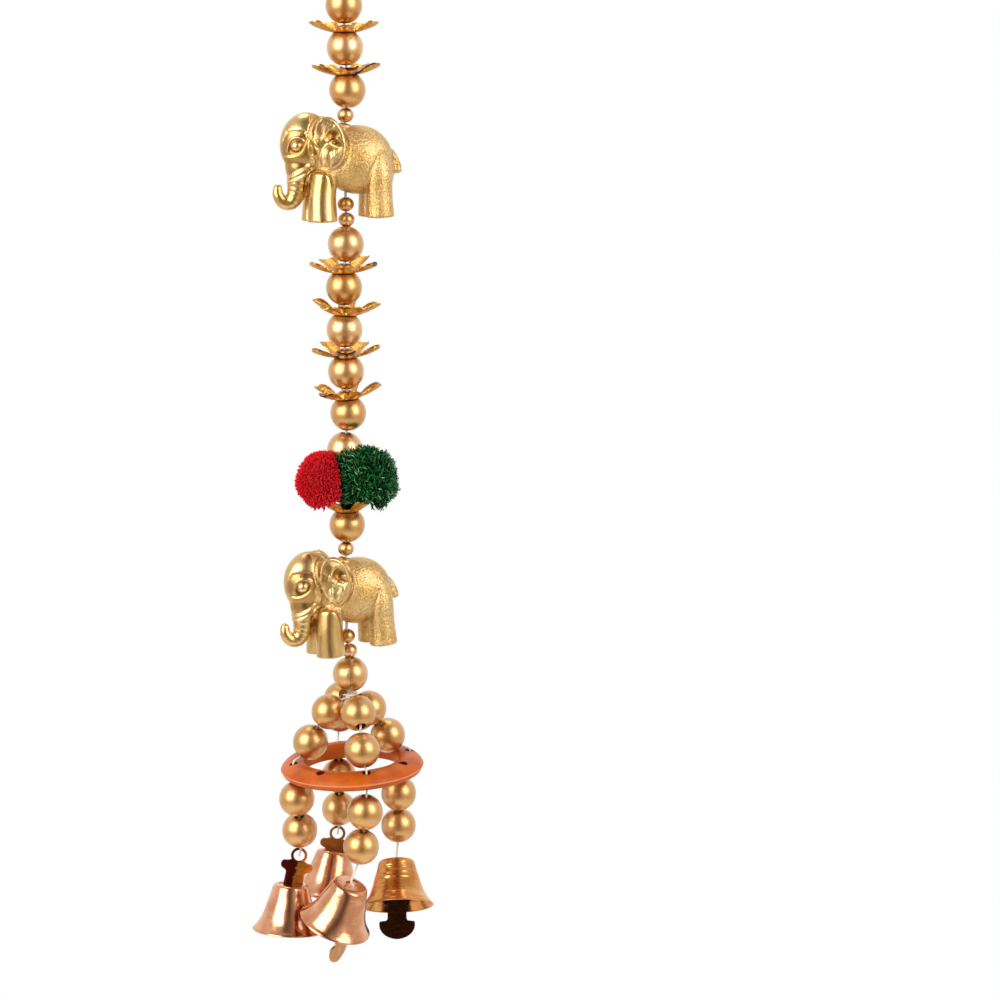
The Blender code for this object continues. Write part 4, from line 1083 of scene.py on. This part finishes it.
def add_pompom(pompom, material, yarn_kind):
    """Strands standing out of a packed core in tufts, cut back where the pompom is pressed."""
    random = np.random.default_rng(yarn_kind.seed)
    tufts, per_tuft = yarn_kind.tufts, yarn_kind.per_tuft
    centre = np.array((pompom.x, pompom.y, -pompom.drop))
    heads = unit(spread_directions(tufts) + random.normal(0, 0.03, (tufts, 3)))
    ways = unit(np.repeat(heads, per_tuft, axis=0) + random.normal(0, yarn_kind.spread, (tufts * per_tuft, 3)))
    reach = np.repeat(random.uniform(1 - yarn_kind.uneven, 1.0 + 0.3 * yarn_kind.uneven, tufts), per_tuft)
    longest = pompom.radius * reach * random.uniform(0.97, 1.02, len(ways)) * bulged(pompom, ways)
    tips = tip_reach(centre, ways, longest, yarn_kind.length, pompom.side)
    keep = tips > 1.5
    ways, tips = ways[keep], tips[keep]
    starts = centre + ways * np.clip(tips - yarn_kind.length, 0.6, None)[:, None]
    tone = np.repeat(random.uniform(yarn_kind.dark, 1.0, tufts), per_tuft)[keep]
    tone = tone * random.uniform(0.8, 1.0, len(ways))
    # Painted glints: this share of strands gets pale tips.
    spark = (random.uniform(0, 1, len(ways)) < yarn_kind.sparks).astype(float)
    bends = random.normal(0, yarn_kind.bend, ways.shape)
    radii = yarn_kind.radius * random.uniform(0.8, 1.15, len(ways))
    points, quads, along = strands_part(starts, centre + ways * tips[:, None], bends, radii)
    each = len(along) // len(ways)
    attributes = {"along": along, "tone": np.repeat(tone, each), "spark": np.repeat(spark, each) * (along > 0.7)}
    mesh = make_mesh(pompom.name, (points, quads), attributes, weld=False)
    add_piece(pompom.name.title(), mesh, material, pompom.name, sharp=80)
    add_core(pompom, material, yarn_kind.core_depth)


# Bells and strips

BELL_OUTER = ((0.0, 0.0), (2.4, 0.0), (4.6, 0.02), (5.5, 0.22), (6.1, 0.8), (6.5, 2.0), (6.9, 3.6), (7.5, 5.6),
              (8.15, 7.8), (8.7, 9.6), (9.3, 11.2), (10.2, 12.9), (11.3, 14.5), (12.2, 15.5), (12.35, 15.9))
BELL_INNER = ((12.1, 16.15), (11.7, 15.9), (10.9, 14.9), (9.8, 13.3), (8.9, 11.5), (8.2, 9.7), (7.6, 7.7),
              (7.0, 5.6), (6.45, 3.6), (6.0, 2.0), (5.5, 1.1), (4.4, 0.72), (2.4, 0.7), (0.0, 0.7))


def bell_part():
    """A spun bell: its outline of (radius, depth) eased by Catmull-Rom and turned about its axis."""
    outline = np.vstack((smooth_path(BELL_OUTER, 4), smooth_path(BELL_INNER, 4)))
    outline[:, 0] = np.clip(outline[:, 0], 0, None)
    return turned(outline * (1, -1), 96)


def arc(x, z, radius_x, radius_z, start, end, count):
    """Points of an oval's arc: (x + rx cos a, z + rz sin a) from one angle to another, in degrees."""
    a = np.radians(np.linspace(start, end, count))
    return np.stack((x + radius_x * np.cos(a), z + radius_z * np.sin(a)), axis=1)


def strip_outline():
    """The right half from the top of the head down, then its mirror image back up."""
    right = np.vstack((
        arc(0, 0, 2.8, 2.8, 90, -38, 14), ((3.4, -2.25),), arc(4.3, -3.8, 1.2, 1.5, 70, -80, 8),
        arc(4.2, -6.5, 0.95, 1.0, 110, 180, 5), ((3.25, -10.0), (3.3, -16.4)),
        arc(4.3, -17.0, 1.0, 1.0, 175, 250, 4), arc(0, -19.3, 6.2, 5.2, 12, -90, 18)))
    left = right[::-1][1:-1] * (-1, 1)
    return np.vstack((right, left))


def plate(outline, thickness):
    """An outline in x, z given a thickness in y, thinner at its rim.

    Rings of the outline shrink to its spine, x times s, so that the faces stay even.
    """
    s = np.linspace(1, 0, 7)[:, None, None]
    spine = np.stack((0 * outline[:, 0], outline[:, 1]), axis=1)
    rings = spine + (outline - spine) * s
    rim = np.clip((s - 0.9) / 0.1, 0, 1)[..., 0]
    half = thickness / 2 * (1 - 0.45 * rim) + 0 * rings[..., 0]
    front = np.stack((rings[..., 0], -half, rings[..., 1]), axis=-1)
    back = np.stack((rings[..., 0], half, rings[..., 1]), axis=-1)
    return grid(np.concatenate((front[::-1], back)), wrap_v=True)


# Stage: the floor's disc in millimetres; lamps and camera in metres and watts

FLOOR_R, FLOOR_Z = 900.0, -760.0
Lamp = namedtuple("Lamp", "name place size watts tint")
LAMPS = (
    Lamp("Left_Softbox", (-0.68, -0.62, 0.22), (0.80, 0.85), 9.5, (1.0, 0.98, 0.95)),
    Lamp("Right_Softbox", (0.74, -0.56, 0.22), (0.52, 0.75), 5.6, (1.0, 0.98, 0.95)),
    Lamp("Top_Softbox", (0.0, 0.30, 0.80), (0.60, 0.60), 2.5, (1.0, 1.0, 1.0)),
)
LAMPS_AIM = (0.0, 0.0, -0.17)
CAMERA_PLACE = (0.0, -0.88817, -0.04496)
CAMERA_DOWN, CAMERA_RIGHT = 9.3, 3.269
CAMERA_LENS_MM = 96.43


# Operators

class Builder:
    """What all the operators share"""
    bl_options = {"REGISTER", "UNDO"}


class HANGING_OT_thread(Builder, bpy.types.Operator):
    """Builds the main thread with its loop and knots, and the four strands' threads"""
    bl_idname = "hanging.thread"
    bl_label = "Threads"

    def execute(self, context):
        material = nylon_thread()
        radius = sizes().thread_radius / MM
        top = CENTRE["top_knot"][2]
        side = ((-2.6, 0, -13.5), (-4.2, 0, -7.0), (-3.0, 0, -2.2))
        other = [(-x, y, z) for x, y, z in reversed(side)]
        loop = smooth_path([(0, 0, top), *side, (0, 0, -radius), *other, (0, 0, top)], 10)
        knots = [knot_part(CENTRE[name], KNOT_R, radius) for name in ("top_knot", "bottom_knot")]
        main = joined((tube(smooth_path(string_marks(), 6), radius), tube(loop, radius), *knots))
        add_piece("Main_Thread", make_mesh("main_thread", main), material, "main_thread")
        for strand in STRANDS:
            part = tube(smooth_path(strand_marks(strand), 6), radius * STRAND_THREAD)
            node = f"{strand.name}_thread"
            add_piece(node.title(), make_mesh(node, part), material, node)
        return {"FINISHED"}


class HANGING_OT_beads(Builder, bpy.types.Operator):
    """Builds the round and small beads of the string and of the strands"""
    bl_idname = "hanging.beads"
    bl_label = "Beads"

    def execute(self, context):
        material = gilt_acrylic(colours())
        names = [p.name for p in STRING]
        for i, place in enumerate(STRING):
            if place.kind not in ("bead", "small"):
                continue
            along = CENTRE[names[i - 1]] - CENTRE[names[i + 1]]
            # The lowest bead shows its mould line to the front
            turned_by = (1, 0, 0) if place.name == "bead_11" else (math.cos(i * 1.9), math.sin(i * 1.9), 0)
            marked = STRING_MARKS.get(place.name, 0.15)
            where = pose(CENTRE[place.name], along * (0.5, 1, 1), turned_by)
            add_bead(place.name, place.kind, where, 0.5 + 0.5 * math.sin(i * 2.3), marked, material)
        for strand in STRANDS:
            for number, (centre, down) in enumerate(strand_axes(strand), 1):
                name = f"{strand.name}_bead_{number}"
                turned_by = (math.cos(number * 2.2), math.sin(number * 1.3), 0.1)
                tone = 0.75 + 0.25 * math.sin(number * 3.1)
                add_bead(name, "bead", pose(centre, -down, turned_by), tone, STRAND_MARKS.get(name, 0.35), material)
        return {"FINISHED"}


class HANGING_OT_caps(Builder, bpy.types.Operator):
    """Builds the stamped flower caps"""
    bl_idname = "hanging.caps"
    bl_label = "Flower caps"

    def execute(self, context):
        material = stamped_gilt_sheet(colours())
        for cap in CAPS:
            points, quads, worn = cap_part(cap, sizes().petal_tip / MM, sizes().sheet / MM)
            up = (math.tan(math.radians(-cap.lean_side)), math.tan(math.radians(-cap.lean_front)), 1)
            where = pose(CENTRE[cap.bead], up)
            mesh = make_mesh(cap.name, (placed(points, where), quads), {"worn": worn})
            add_piece(cap.name.title(), mesh, material, cap.name, sharp=50)
        return {"FINISHED"}


class HANGING_OT_elephants(Builder, bpy.types.Operator):
    """Builds the two elephants"""
    bl_idname = "hanging.elephants"
    bl_label = "Elephants"

    def execute(self, context):
        material = gold_sprayed_resin(colours())
        for elephant in ELEPHANTS:
            add_elephant(elephant, material)
        return {"FINISHED"}


class HANGING_OT_pompoms(Builder, bpy.types.Operator):
    """Builds the red and the green pompom"""
    bl_idname = "hanging.pompoms"
    bl_label = "Pompoms"

    def execute(self, context):
        shade = colours()
        green = yarn("glossy_viscose_yarn", tuple(shade.green_deep), tuple(shade.green), 0.32, 0.05)
        red = yarn("soft_acrylic_yarn", tuple(shade.red_deep), tuple(shade.red), 0.85, 0.5)
        size = sizes()
        coarse = Yarn(tufts=size.green_tufts, per_tuft=10, spread=0.075, uneven=0.13, length=4.6, radius=0.27,
                      bend=3.2, dark=0.10, sparks=0.04, core_depth=2.8, seed=11)
        fine = Yarn(tufts=size.red_tufts, per_tuft=3, spread=0.03, uneven=0.05, length=2.0, radius=0.27,
                    bend=1.0, dark=0.6, sparks=0.0, core_depth=1.3, seed=7)
        add_pompom(POMPOMS[0], green, coarse)
        add_pompom(POMPOMS[1], red, fine)
        return {"FINISHED"}


class HANGING_OT_ring(Builder, bpy.types.Operator):
    """Builds the moulded ring with its holes"""
    bl_idname = "hanging.ring"
    bl_label = "Ring"

    def execute(self, context):
        points, quads = turned(rounded(RING_OUTLINE, 4), 240)
        flat = np.hypot(points[:, 0], points[:, 1])
        ridge = np.exp(-((points[:, 2] + 0.5) / 0.22) ** 2) * (flat > RING_EDGE_R)
        obj = add_piece("Ring", make_mesh("ring", (placed(points, ring_place()), quads), {"ridge": ridge}),
                        orange_polythene(colours()), "ring", sharp=60)
        angles = [STRANDS[0].hole_angle + 360 / RING_HOLES * number for number in range(RING_HOLES)]
        holes = [tube([ring_point(angle, h) for h in (4.0, 0.0, -4.0)], RING_HOLE_R, 20) for angle in angles]
        mesh = cut(obj, joined(holes), "ring_holes")
        points = np.empty(len(mesh.vertices) * 3)
        mesh.vertices.foreach_get("co", points)
        turn, centre = ring_place()
        points = (points.reshape(-1, 3) / MM - centre) @ turn
        middles = np.radians(angles)[:, None]
        away = np.hypot(points[:, 0] - RING_HOLE_CIRCLE_R * np.cos(middles),
                        points[:, 1] - RING_HOLE_CIRCLE_R * np.sin(middles)).min(axis=0)
        # Painted shade: marks the holes' walls and rims to be coloured dark brown.
        hole = np.where(away < RING_HOLE_R + 0.1, 1.0, 0.0)
        mesh.attributes.new("hole", "FLOAT", "POINT").data.foreach_set("value", hole)
        mesh.shade_smooth()
        obj.data.set_sharp_from_angle(angle=math.radians(50))
        return {"FINISHED"}


class HANGING_OT_bells(Builder, bpy.types.Operator):
    """Builds the four bells and the strips that strike them"""
    bl_idname = "hanging.bells"
    bl_label = "Bells and strips"

    def execute(self, context):
        shade = colours()
        rose = spun_brass("spun_rose_brass", tuple(shade.bell), tuple(shade.bell_deep), 0.19, 0.3, 0.03)
        orange = spun_brass(
            "spun_orange_brass", tuple(shade.orange_bell), tuple(shade.orange_bell_deep), 0.22, 3.2, 0.9)
        strips = {
            "left": tarnished_strip("half_tarnished_copper_strip", "#5A1E10", "#D08A3A"),
            "front": tarnished_strip("bright_copper_strip", "#C89058", "#E0B07A"),
            # The right strip is coloured near black all over.
            "right": tarnished_strip("black_tarnished_strip", "#33190C", "#4A2412"),
            "back": tarnished_strip("dull_copper_strip", "#A0703C", "#C8A070"),
        }
        for bell in BELLS:
            local, quads = bell_part()
            node = f"{bell.name}_bell"
            mesh = make_mesh(node, (placed(local, bell_place(bell)), quads), {"local": local})
            obj = add_piece(node.title(), mesh, orange if bell.name == "right" else rose, node, node)
            cut(obj, block(SLOT_HALF_LENGTH, SLOT_HALF_WIDTH, 1.5, bell_place(bell)), f"{bell.name}_slot")
            axis = np.array(((0, 0, 1.6), (0, 0, 0.0), (0, 0, -1.6)))
            cut(obj, tube(placed(axis, bell_place(bell)), EYELET_R, 24), f"{bell.name}_slot_hole")
            obj.data.shade_smooth()
            obj.data.set_sharp_from_angle(angle=math.radians(40))
            self.add_strip(bell, strips[bell.name])
        return {"FINISHED"}

    def add_strip(self, bell, material):
        """The strip with its eyelet; the left one is bright on one side only."""
        local, quads = plate(strip_outline(), STRIP_THICKNESS)
        node = f"{bell.name}_strip"
        bright = np.clip(0.5 + local[:, 0] / 3.0, 0, 1) if bell.name == "left" else np.full(len(local), 0.3)
        mesh = make_mesh(node, (placed(local, strip_place(bell)), quads), {"bright": bright})
        obj = add_piece(node.title(), mesh, material, node)
        path = placed(np.array(((0, -3.0, 0), (0, 0, 0), (0, 3.0, 0))), strip_place(bell))
        cut(obj, tube(path, EYELET_R, 28), f"{bell.name}_eyelet")
        obj.data.shade_smooth()
        obj.data.set_sharp_from_angle(angle=math.radians(35))


class HANGING_OT_stage(Builder, bpy.types.Operator):
    """Builds the floor, the lights and the camera"""
    bl_idname = "hanging.stage"
    bl_label = "Stage"

    def execute(self, context):
        scene = context.scene
        scene.view_settings.view_transform = "Standard"
        a = np.linspace(0, 2 * np.pi, 64, endpoint=False)
        rim = np.stack((FLOOR_R * np.cos(a), FLOOR_R * np.sin(a), np.full(64, FLOOR_Z)), axis=1)
        disc = grid(np.stack((rim * (0, 0, 1), rim)), wrap_v=True)
        floor = bpy.data.objects.new("Floor", make_mesh("floor", disc))
        pale, _, _ = new_finish("pale_paper_floor", {"Base Color": (0.86, 0.86, 0.86, 1), "Roughness": 0.9})
        floor.data.materials.append(pale)
        scene.collection.objects.link(floor)
        self.add_world(scene)
        for name, place, size, watts, tint in LAMPS:
            light = bpy.data.lights.new(name, "AREA")
            light.shape = "RECTANGLE"
            light.energy, light.color = watts, tint
            light.size, light.size_y = size
            lamp = bpy.data.objects.new(name, light)
            lamp.location = place
            toward = Vector(LAMPS_AIM) - Vector(place)
            lamp.rotation_euler = toward.to_track_quat("-Z", "Y").to_euler()
            scene.collection.objects.link(lamp)
        self.add_camera(scene)
        return {"FINISHED"}

    def add_world(self, scene):
        """White behind the object, and a dim room in front of it that the gilding mirrors."""
        world = bpy.data.worlds.new("studio")
        scene.world = world
        world.use_nodes = True
        tree = world.node_tree
        way = add(tree, "TexCoord", {}, "Generated")
        to_side, to_back, up = (add(tree, "SeparateXYZ", {"Vector": way}, axis) for axis in "XYZ")
        behind = add(tree, "MapRange", {"Value": to_back, "From Min": -0.4, "From Max": 0.9})
        above = add(tree, "MapRange", {"Value": up, "From Min": -0.95, "From Max": -0.25})
        aside = add(tree, "Math", {0: to_side}, operation="ABSOLUTE")
        aside = add(tree, "MapRange", {"Value": aside, "From Min": 0.06, "From Max": 0.50})
        dark, pale, white, warm = (0.10, 0.06, 0.035, 1), (0.66, 0.58, 0.50, 1), (1, 1, 1, 1), (0.60, 0.36, 0.08, 1)
        room = add(tree, "Mix", {0: aside, 6: dark, 7: pale}, 2, data_type="RGBA")
        room = add(tree, "Mix", {0: behind, 6: room, 7: white}, 2, data_type="RGBA")
        room = add(tree, "Mix", {0: above, 6: warm, 7: room}, 2, data_type="RGBA")
        mirrored = add(tree, "Background", {"Color": room, "Strength": 1.0})
        plain = tree.nodes["Background"]
        plug(tree, plain, {"Color": white, "Strength": 1.0})
        seen = add(tree, "LightPath", {}, "Is Camera Ray")
        both = add(tree, "MixShader", {0: seen, 1: mirrored, 2: plain.outputs[0]})
        plug(tree, tree.nodes["World Output"], {"Surface": both})

    def add_camera(self, scene):
        """Looks a little down from 0.9 m away, turned a little to the right, as the photograph does."""
        data = bpy.data.cameras.new("Camera")
        data.lens = CAMERA_LENS_MM
        data.sensor_width = 36.0
        camera = bpy.data.objects.new("Camera", data)
        camera.location = CAMERA_PLACE
        camera.rotation_euler = (math.radians(90 - CAMERA_DOWN), 0.0, math.radians(-CAMERA_RIGHT))
        scene.collection.objects.link(camera)
        scene.camera = camera


class HANGING_PT_panel(bpy.types.Panel):
    """Lists the sizes, the colours and the steps"""
    bl_idname = "HANGING_PT_panel"
    bl_label = "Bell door hanging"
    bl_space_type = "VIEW_3D"
    bl_region_type = "UI"
    bl_category = "Hanging"

    def draw(self, context):
        for group in (context.scene.hanging_sizes, context.scene.hanging_colours):
            column = self.layout.column(align=True)
            for key in group.__annotations__:
                column.prop(group, key)
        for operator in OPERATORS:
            self.layout.operator(operator.bl_idname)


OPERATORS = (HANGING_OT_stage, HANGING_OT_thread, HANGING_OT_beads, HANGING_OT_caps, HANGING_OT_elephants,
             HANGING_OT_pompoms, HANGING_OT_ring, HANGING_OT_bells)
CLASSES = (HangingSizes, HangingColours, *OPERATORS, HANGING_PT_panel)


def register():
    """Registers the add-on's classes, and its sizes and colours on the scene."""
    for cls in CLASSES:
        bpy.utils.register_class(cls)
    bpy.types.Scene.hanging_sizes = bpy.props.PointerProperty(type=HangingSizes)
    bpy.types.Scene.hanging_colours = bpy.props.PointerProperty(type=HangingColours)


def unregister():
    """Takes all of that away again."""
    del bpy.types.Scene.hanging_colours
    del bpy.types.Scene.hanging_sizes
    for cls in reversed(CLASSES):
        bpy.utils.unregister_class(cls)


def main():
    register()
    bpy.ops.hanging.stage()
    bpy.ops.hanging.thread()
    bpy.ops.hanging.beads()
    bpy.ops.hanging.caps()
    bpy.ops.hanging.elephants()
    bpy.ops.hanging.pompoms()
    bpy.ops.hanging.ring()
    bpy.ops.hanging.bells()
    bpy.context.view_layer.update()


if __name__ == "__main__":
    main()
